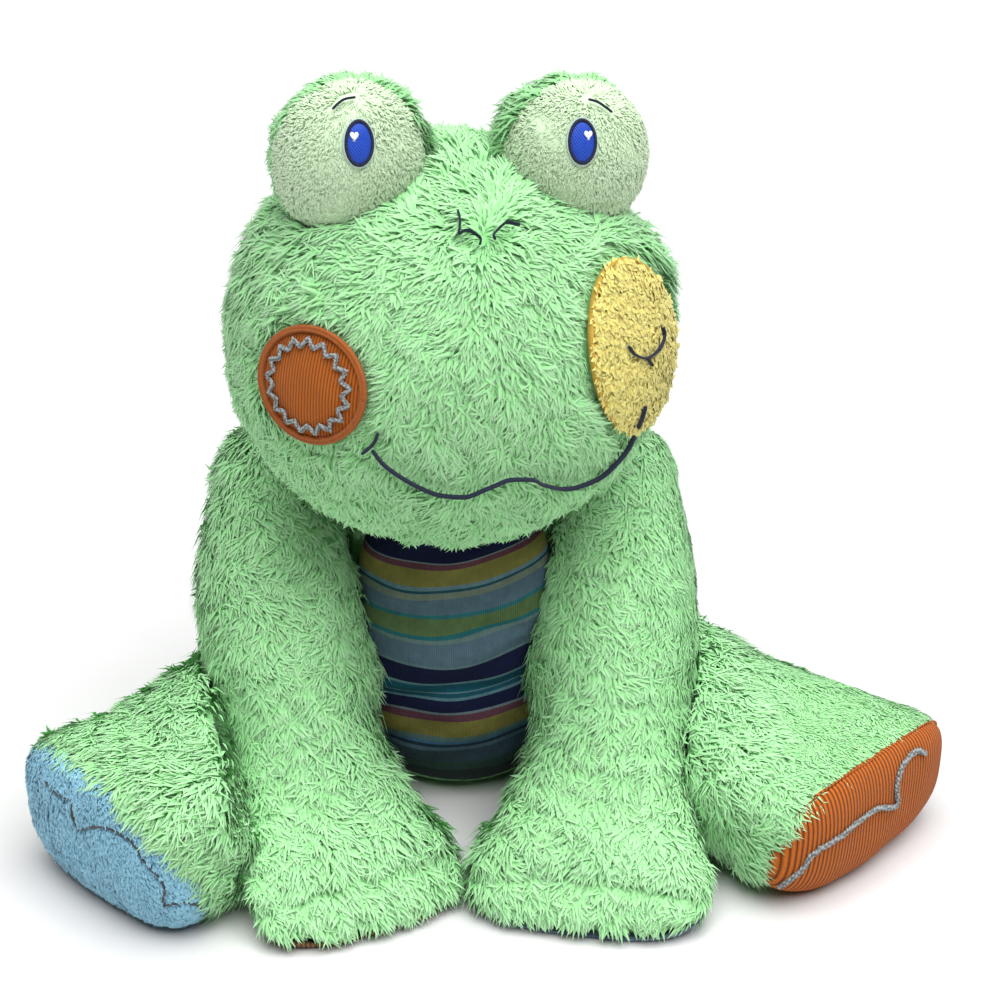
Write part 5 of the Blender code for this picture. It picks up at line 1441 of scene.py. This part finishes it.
class FROG_OT_cheeks(bpy.types.Operator):
    """Make both cheek patches with their borders and sewn lines"""
    bl_idname = "frog.cheeks"
    bl_label = "Cheeks"

    def execute(self, context):
        # each cheek's cloth, its edge's thread, width share and ridges, and the height, size and seed of its curls
        looks = {RIGHT: ("orange", "orange_thread", 0.85, 0.4, 0.0002, 0.012, FORM_SEEDS["ribbed"]),
                 LEFT: ("yellow", "gold", 0.66, 0.15, 0.0007, 0.0035, FORM_SEEDS["curls"])}
        for side, name in SIDES:
            place = cheek_place(side)
            half_wide, half_tall = CHEEKS[side][0] / 2, CHEEKS[side][1] / 2
            cloth, thread, edge_share, ridges, curl_height, curl_size, seed = looks[side]

            def lift(across, up, share, curl_height=curl_height, curl_size=curl_size, seed=seed):
                """A low cushion with curls that fade at its edge."""
                curls = curl_height * ripple(np.stack((across, up, 0 * up), -1), curl_size, seed)
                return -0.0004 + 0.0010 * (1 - share ** 4) + curls * (1 - share ** 8)

            pad(name + "_cheek_cloth", oval(half_wide - CHEEK_BORDER * 0.7, half_tall - CHEEK_BORDER * 0.7),
                laid_on(HEAD_EGG, place), cloth, "head", (name + "_cheek_patch",), lift, 50, 180)
            ring = oval_ring(half_wide - CHEEK_BORDER / 2, half_tall - CHEEK_BORDER / 2, 60)
            path, normals = line_on(HEAD_EGG, ring, place, 300, ABOVE["edge"], True)
            stitched_line(name + "_cheek_edge", path, normals, CHEEK_BORDER * edge_share, TALL["edge"], thread,
                          "head", (name + "_cheek_border",), True, ridges, 20)
        self.sew_zigzag(context.scene.frog_threads.toe * 0.80)
        self.curl_left(self.sew_dimple())
        return {"FINISHED"}

    def sew_zigzag(self, width):
        """The braid inside the right cheek's border: a circle whose points lie in turn further in and out."""
        middle_reach, swing, teeth = CHEEKS[RIGHT][0] / 2 - CHEEK_BORDER - 0.0034, 0.0014, 17
        reach = middle_reach + np.where(np.arange(2 * teeth) % 2 == 1, swing, -swing)
        corners = np.stack((reach * np.cos(circle(2 * teeth)), reach * np.sin(circle(2 * teeth))), -1)
        share = np.linspace(0, 1, 9)[:-1, None]
        zigzag = (corners[:, None] * (1 - share) + np.roll(corners, -1, 0)[:, None] * share).reshape(-1, 2)
        points, normals = HEAD_EGG.laid(zigzag[:, 0], zigzag[:, 1], cheek_place(RIGHT))
        braided_line("right_cheek_zigzag_line", to_frog(points + normals * ABOVE["zigzag"]),
                     turned_to_frog(normals), width, "head", ("right_cheek_zigzag",), True, 7)

    def sew_dimple(self):
        """The lines on the left cheek, given back as paths on its cloth."""
        sewn = []
        for title, line, width, replaced in (("left_cheek_dimple_line", DIMPLE_LINE, 0.0008, ("left_cheek_dimple",)),
                                             ("left_cheek_dimple_tail", DIMPLE_TAIL, 0.0008, ()),
                                             ("mouth_end_line", MOUTH_END, 0.0010, ())):
            path, normals = line_on(HEAD_EGG, line, cheek_place(LEFT), 70, ABOVE["cheek"])
            stitched_line(title, path, normals, width, TALL["cheek"], "navy", "head", replaced)
            sewn.append(line_on(HEAD_EGG, line, cheek_place(LEFT), 30, 0.0008)[0])
        return sewn

    def curl_left(self, sewn):
        """The left cheek's curls on an oval disc a little above its cloth."""
        place = cheek_place(LEFT)
        out, inset = np.linspace(0.02, 1, 60)[:, None], CHEEK_BORDER * 0.55
        across, up = oval(CHEEKS[LEFT][0] / 2 - inset, CHEEKS[LEFT][1] / 2 - inset)(circle(220)[None])
        points, normals = HEAD_EGG.laid(across * out, up * out, place)
        cloth = to_frog(points + normals * 0.0006).reshape(-1, 3)
        faces = looking(cloth, grid_triangles(60, 220), turned_to_frog(place[3]))

        def combed(roots, normals):
            return np.zeros_like(roots) + (0, 0, -1)

        def keep(roots, normals):
            share = np.ones(len(roots))
            for path in sewn:
                share[near_path(roots, path, 0.0009)] = 0
            return share

        grow_pile("left_cheek", (cloth, faces), combed, keep, "head", SEEDS["curls"], "sherpa_pile",
                  **SHORT_PILES["curls"])


# Where the pile of arms and legs is fuller, in shares of its length
ARM_OUTER_GAIN, ARM_INNER_GAIN = {RIGHT: 0.35, LEFT: -0.40}, 0.45
HAUNCH_GAIN, TOE_GAIN, LEFT_TOP_LOSS = 0.55, 0.50, 0.45


class FROG_OT_arms(bpy.types.Operator):
    """Make both arms' backing cloth and pile"""
    bl_idname = "frog.arms"
    bl_label = "Arms"

    def execute(self, context):
        for side, name in SIDES:
            limb, body = ARMS[side], name + "_arm"
            points, faces = grown(limb.form(), -context.scene.frog_pile.depth)
            form = above_floor(arm_clear(points, side, SWING_CLEARANCE)), faces
            put_backing(body + "_backing", form, body, (body + "_shell", body + "_stuffing"))

            def combed(roots, normals, limb=limb):
                """Along the arm to the toes, and down where the arm hangs."""
                sag = -ARM_SAG * rising(roots[:, 2], 0.012, 0.02)
                return limb.along[limb.measured(roots)[0]] + np.outer(sag, (0, 0, 1))

            def keep(roots, normals, side=side):
                """None in the body and under the palm, and fuller or shorter towards the arm's two sides."""
                share = np.ones(len(roots))
                share[in_body(roots)] = 0
                outer, high = side * normals[:, 0], rising(roots[:, 2], 0.06, 0.02)
                share += ARM_OUTER_GAIN[side] * high * outer.clip(0, 1)
                share += ARM_INNER_GAIN * (1 - high) * (-outer).clip(0, 1)
                above_palm = roots[:, 2] - PALM_HEIGHT
                share *= 0.85 + 0.15 * rising(above_palm, 0, 0.012)
                share[above_palm < CLOTH_THICKNESS] = 0
                share[HEAD_EGG.out(to_head(roots)) < 1.05] *= 0.5
                return share

            grow_pile(body, form, combed, keep, body, SEEDS["arm"] + side, pieces=2)
        return {"FINISHED"}


class FROG_OT_palms(bpy.types.Operator):
    """Make the cloth palms under both flippers"""
    bl_idname = "frog.palms"
    bl_label = "Palms"

    def execute(self, context):
        down, columns = 3 * math.pi / 2, 61
        for side, name in SIDES:
            limb = ARMS[side]
            sweep = np.linspace(0, math.pi / 2, 200)
            lower = limb.points(down + sweep)[..., 2]
            below = (lower < PALM_HEIGHT + PANEL_RECESS).sum(1)
            extent = sweep[np.minimum(below, len(sweep) - 1)] * (lower[:, 0] < PALM_HEIGHT)
            rows = np.flatnonzero((extent > 0.05) & (limb.centres[:, 1] < -0.04))
            picked = slice(rows.min(), rows.max() + 1)
            points = limb.points(down + extent[:, None] * np.linspace(-1, 1, columns)[None])[picked]
            points = above_floor(points - unit(points - limb.centres[picked, None]) * PALM_INSET)
            faces = grid_triangles(len(points), columns, False)
            points = points.reshape(-1, 3)
            thickened(put_in_scene(name + "_palm_cloth", points, looking(points, faces, (0, 0, -1)),
                                   "palm_orange" if side == RIGHT else "slate", name + "_arm",
                                   (name + "_palm_panel",), flat_lay(points[:, 0], points[:, 1])), PALM_THICKNESS)
        return {"FINISHED"}


class FROG_OT_legs(bpy.types.Operator):
    """Make both legs' backing cloth and pile"""
    bl_idname = "frog.legs"
    bl_label = "Legs"

    def execute(self, context):
        for side, name in SIDES:
            limb, body = LEGS[side], name + "_leg"
            points, faces = grown(limb.form(), -context.scene.frog_pile.depth)
            form = above_floor(leg_clear(points, side, SWING_CLEARANCE)), faces
            put_backing(body + "_backing", form, body, (body + "_shell", body + "_stuffing"))

            def combed(roots, normals, limb=limb):
                """Along the leg to the foot, and down."""
                return limb.along[limb.measured(roots)[0]] + HANG

            def keep(roots, normals, side=side):
                """Fuller on the haunch and by the inner toes, none past the seam and under body and arm."""
                seam, outward = sole_plane(side)
                past_seam = (roots - seam) @ outward
                haunch = bell(np.abs(roots[:, 0]), 0.084, 0.020) * (normals[:, 2] + 0.3).clip(0, 1)
                share = 1 + HAUNCH_GAIN * haunch
                if side == LEFT:
                    share -= LEFT_TOP_LOSS * rising(roots[:, 0], 0.095, 0.02) * normals[:, 2].clip(0, 1)
                toe = rising(past_seam, -0.02, 0.02) * rising(-roots[:, 2], -0.03, 0.02)
                share += TOE_GAIN * toe * (-side * normals[:, 0]).clip(0, 1)
                share[past_seam > 0.0004] = 0
                share[in_body(roots)] = 0
                share[ARMS[side].measured(roots)[1] < 1.04] = 0
                share[roots[:, 2] < 0.0015] *= 0.5
                return share

            grow_pile(body, form, combed, keep, body, SEEDS["leg"] + side, pieces=2)
        return {"FINISHED"}


def sole_surface(side, rings, spokes):
    """The leg's end beyond the seam, in rings from its tip: each meridian is cut where it meets the seam's plane."""
    limb = LEGS[side]
    seam, outward = sole_plane(side)
    meridians = np.concatenate((limb.points(circle(spokes)), np.broadcast_to(limb.tip, (1, spokes, 3))))[::-1]
    beyond = (meridians - seam) @ outward
    first = np.argmax(beyond < 0, 0)
    pick = np.arange(spokes)
    before, after = beyond[first - 1, pick], beyond[first, pick]
    crossing = first - 1 + before / (before - after)
    share = np.linspace(0, 1, rings + 1)[:, None]
    steps_long = np.linalg.norm(np.diff(meridians, axis=0), axis=-1)
    lengths = np.concatenate((np.zeros((1, spokes)), np.cumsum(steps_long, 0)))
    whole = np.floor(crossing).astype(int)
    total = lengths[whole, pick] + (crossing - whole) * (lengths[whole + 1, pick] - lengths[whole, pick])
    wanted = share * total
    steps = (lengths[None] <= wanted[:, None]).sum(1) - 1
    steps = steps.clip(0, len(meridians) - 2)
    part = (wanted - lengths[steps, pick]) / np.maximum(lengths[steps + 1, pick] - lengths[steps, pick], 1e-9)
    return meridians[steps, pick] * (1 - part[..., None]) + meridians[steps + 1, pick] * part[..., None]


class FROG_OT_soles(bpy.types.Operator):
    """Make both soles and sew their toe lines"""
    bl_idname = "frog.soles"
    bl_label = "Soles"

    def execute(self, context):
        threads = context.scene.frog_threads
        for side, name in SIDES:
            body, replaced = name + "_leg", (name + "_sole_stitch",)
            points, faces, normals = self.lay_cloth(side, name, body)
            path, way_out = self.toe_path(side, points, normals)
            if side == LEFT:
                braided_line(name + "_toe_line", path + way_out * ABOVE["braid"], way_out, threads.toe, body,
                             replaced)
            else:
                stitched_line(name + "_toe_line", path + way_out * ABOVE["toe"], way_out, threads.sunk, TALL["toe"],
                              "dark_grey", body, replaced)
                self.loop_right(name, body, (points, faces), path[::12])
        return {"FINISHED"}

    def lay_cloth(self, side, name, body):
        """The sole's cloth, puffed, dimpled where it is terry and tucked in at the seam."""
        rings, spokes = 60, 180
        count = rings * spokes
        rows = sole_surface(side, rings, spokes)
        points = np.vstack((rows[1:].reshape(-1, 3), rows[0, 0]))
        normals = normals_of(closed_form(rows[1:], rows[0, 0], rows[-1].mean(0)))[:count + 1]
        share = np.append(np.repeat(np.linspace(0, 1, rings + 1)[1:], spokes), 0)
        puff = 0.0006 * ripple(points, 0.034, FORM_SEEDS["sole"] + side)
        dimples = 0.0003 * ripple(points, 0.0040, FORM_SEEDS["dimples"]) if side == RIGHT else 0
        normals[share > 0.985] = unit(points[share > 0.985] - LEGS[side].centres[-1])
        raised = (puff + dimples) * (1 - share ** 8) - SOLE_INSET - 0.0026 * share ** 16
        points = points + normals * raised[:, None]
        points = above_floor(points)
        sole_out = leg_directions(side)[1]
        faces = looking(points, disc_triangles(rings, spokes), sole_out)
        lay = flat_lay((points - LEGS[side].tip) @ np.cross((0, 0, 1), sole_out), points[:, 2])
        piece = put_in_scene(name + "_sole_cloth", points, faces, "terry" if side == RIGHT else "sole_orange", body,
                             (name + "_sole_panel",), lay)
        thickened(piece)
        return points, faces, normals

    def toe_path(self, side, points, normals):
        """The scalloped toe line, moved onto the nearest places of the sole, and the sole's way out along it."""
        out, sole_out, _ = leg_directions(side)
        foot = hip_at(side) + out
        line = even_line(TOE_LINES[side], 150)
        wanted = (line[:, :1] * np.cross((0, 0, 1), sole_out) + line[:, 2:] * sole_out + (foot[0], foot[1], 0)
                  + line[:, 1:2] * (0, 0, 1))
        gaps = np.linalg.norm(wanted[:, None] - points[None], axis=-1)
        nearest = np.argpartition(gaps, 8, 1)[:, :8]
        weight = 1 / (np.take_along_axis(gaps, nearest, 1) + 0.0004)
        weight = (weight / weight.sum(1, keepdims=True))[..., None]
        found = np.hstack(((points[nearest] * weight).sum(1), (normals[nearest] * weight).sum(1) * 0.004))
        both = even_line(found[::2], 900)
        return both[:, :3], unit(both[:, 3:])

    def loop_right(self, name, body, form, sewn):
        """The short loops of the right sole, apart from its sewn line."""
        seam, outward = sole_plane(RIGHT)

        def combed(roots, normals):
            return np.zeros_like(roots) + HANG_OF_LOOPS

        def keep(roots, normals):
            kept = np.ones(len(roots))
            kept[near_path(roots, sewn, 0.0008)] = 0
            kept[(roots - seam) @ outward < 0.0012] = 0
            kept[roots[:, 2] < 0.002] = 0
            return kept

        grow_pile(name + "_sole", form, combed, keep, body, SEEDS["loops"], "terry_pile", 2,
                  **SHORT_PILES["loops"])


# The studio
FLOOR_REACH, FLOOR_DROP = 9, -0.0002
FLOOR_SHADES = (0.67, 0.70)
SKY_LIGHT, LAMP_LIGHT, LAMP_SPREAD = 0.08, 5.1, math.radians(65)
LAMP_WAY = Vector((0.14, -0.29, 1.0))
LENS, CAMERA_PLACE, CAMERA_AIM = 88.6, Vector((0.0156, -0.806, 0.480)), Vector((0.0156, -0.0813, 0.1415))


def looking_back(way):
    """The turn of a lamp or camera whose back is towards the way."""
    return way.to_track_quat("Z", "Y").to_euler()


class FROG_OT_stage(bpy.types.Operator):
    """Set the pale floor, the soft studio light and the camera"""
    bl_idname = "frog.stage"
    bl_label = "Stage"

    def execute(self, context):
        scene, reach = context.scene, FLOOR_REACH
        mesh = bpy.data.meshes.new("floor")
        mesh.from_pydata(((-reach, -reach, 0), (reach, -reach, 0), (reach, reach, 0), (-reach, reach, 0)), (),
                         ((0, 1, 2, 3),))
        floor = bpy.data.objects.new("floor", mesh)
        scene.collection.objects.link(floor)
        floor.location.z = FLOOR_DROP
        paper, net, sockets = start_finish("pale_floor", 0.95)
        dark, light = ((shade, shade, shade) for shade in FLOOR_SHADES)
        net.links.new(net.mix(net.noise(30.0, 2.0, 0.5), dark, light), sockets["Base Color"])
        mesh.materials.append(paper)
        scene.world = bpy.data.worlds.new("studio")
        scene.world.use_nodes = True
        sky = scene.world.node_tree.nodes["Background"].inputs
        sky[0].default_value = (1.0, 1.0, 1.0, 1)
        sky[1].default_value = SKY_LIGHT
        lamp = bpy.data.lights.new("softbox", "SUN")
        lamp.energy, lamp.angle = LAMP_LIGHT, LAMP_SPREAD
        light = bpy.data.objects.new("softbox", lamp)
        scene.collection.objects.link(light)
        light.rotation_euler = looking_back(LAMP_WAY)
        lens = bpy.data.cameras.new("camera")
        lens.lens = LENS
        lens.sensor_width = 36
        scene.camera = bpy.data.objects.new("camera", lens)
        scene.collection.objects.link(scene.camera)
        scene.camera.location = CAMERA_PLACE
        scene.camera.rotation_euler = looking_back(CAMERA_PLACE - CAMERA_AIM)
        scene.view_settings.view_transform = "Standard"
        return {"FINISHED"}


class FROG_PT_panel(bpy.types.Panel):
    """Sizes, colours and making steps of the plush frog"""
    bl_idname = "FROG_PT_panel"
    bl_label = "Plush frog"
    bl_space_type = "VIEW_3D"
    bl_region_type = "UI"
    bl_category = "Plush frog"

    def draw(self, context):
        for group in (context.scene.frog_pile, context.scene.frog_threads, context.scene.frog_colours):
            box = self.layout.box()
            for key in group.bl_rna.properties.keys():
                if key not in ("rna_type", "name"):
                    box.prop(group, key)
        for step in STEPS:
            self.layout.operator(step)


STEPS = ("frog.stage", "frog.finishes", "frog.face", "frog.neck", "frog.body", "frog.belly", "frog.head", "frog.eyes",
         "frog.pupils", "frog.cheeks", "frog.arms", "frog.palms", "frog.legs", "frog.soles")
CLASSES = (FROG_PG_pile, FROG_PG_threads, FROG_PG_colours, FROG_OT_stage, FROG_OT_finishes, FROG_OT_face,
           FROG_OT_neck, FROG_OT_body, FROG_OT_belly, FROG_OT_head, FROG_OT_eyes, FROG_OT_pupils, FROG_OT_cheeks,
           FROG_OT_arms, FROG_OT_palms, FROG_OT_legs, FROG_OT_soles, FROG_PT_panel)


def register():
    for made in CLASSES:
        bpy.utils.register_class(made)
    bpy.types.Scene.frog_pile = bpy.props.PointerProperty(type=FROG_PG_pile)
    bpy.types.Scene.frog_threads = bpy.props.PointerProperty(type=FROG_PG_threads)
    bpy.types.Scene.frog_colours = bpy.props.PointerProperty(type=FROG_PG_colours)


def unregister():
    del bpy.types.Scene.frog_colours, bpy.types.Scene.frog_threads, bpy.types.Scene.frog_pile
    for made in reversed(CLASSES):
        bpy.utils.unregister_class(made)


def main():
    register()
    for step in STEPS:
        getattr(bpy.ops.frog, step.split(".")[1])()


if __name__ == "__main__":
    main()
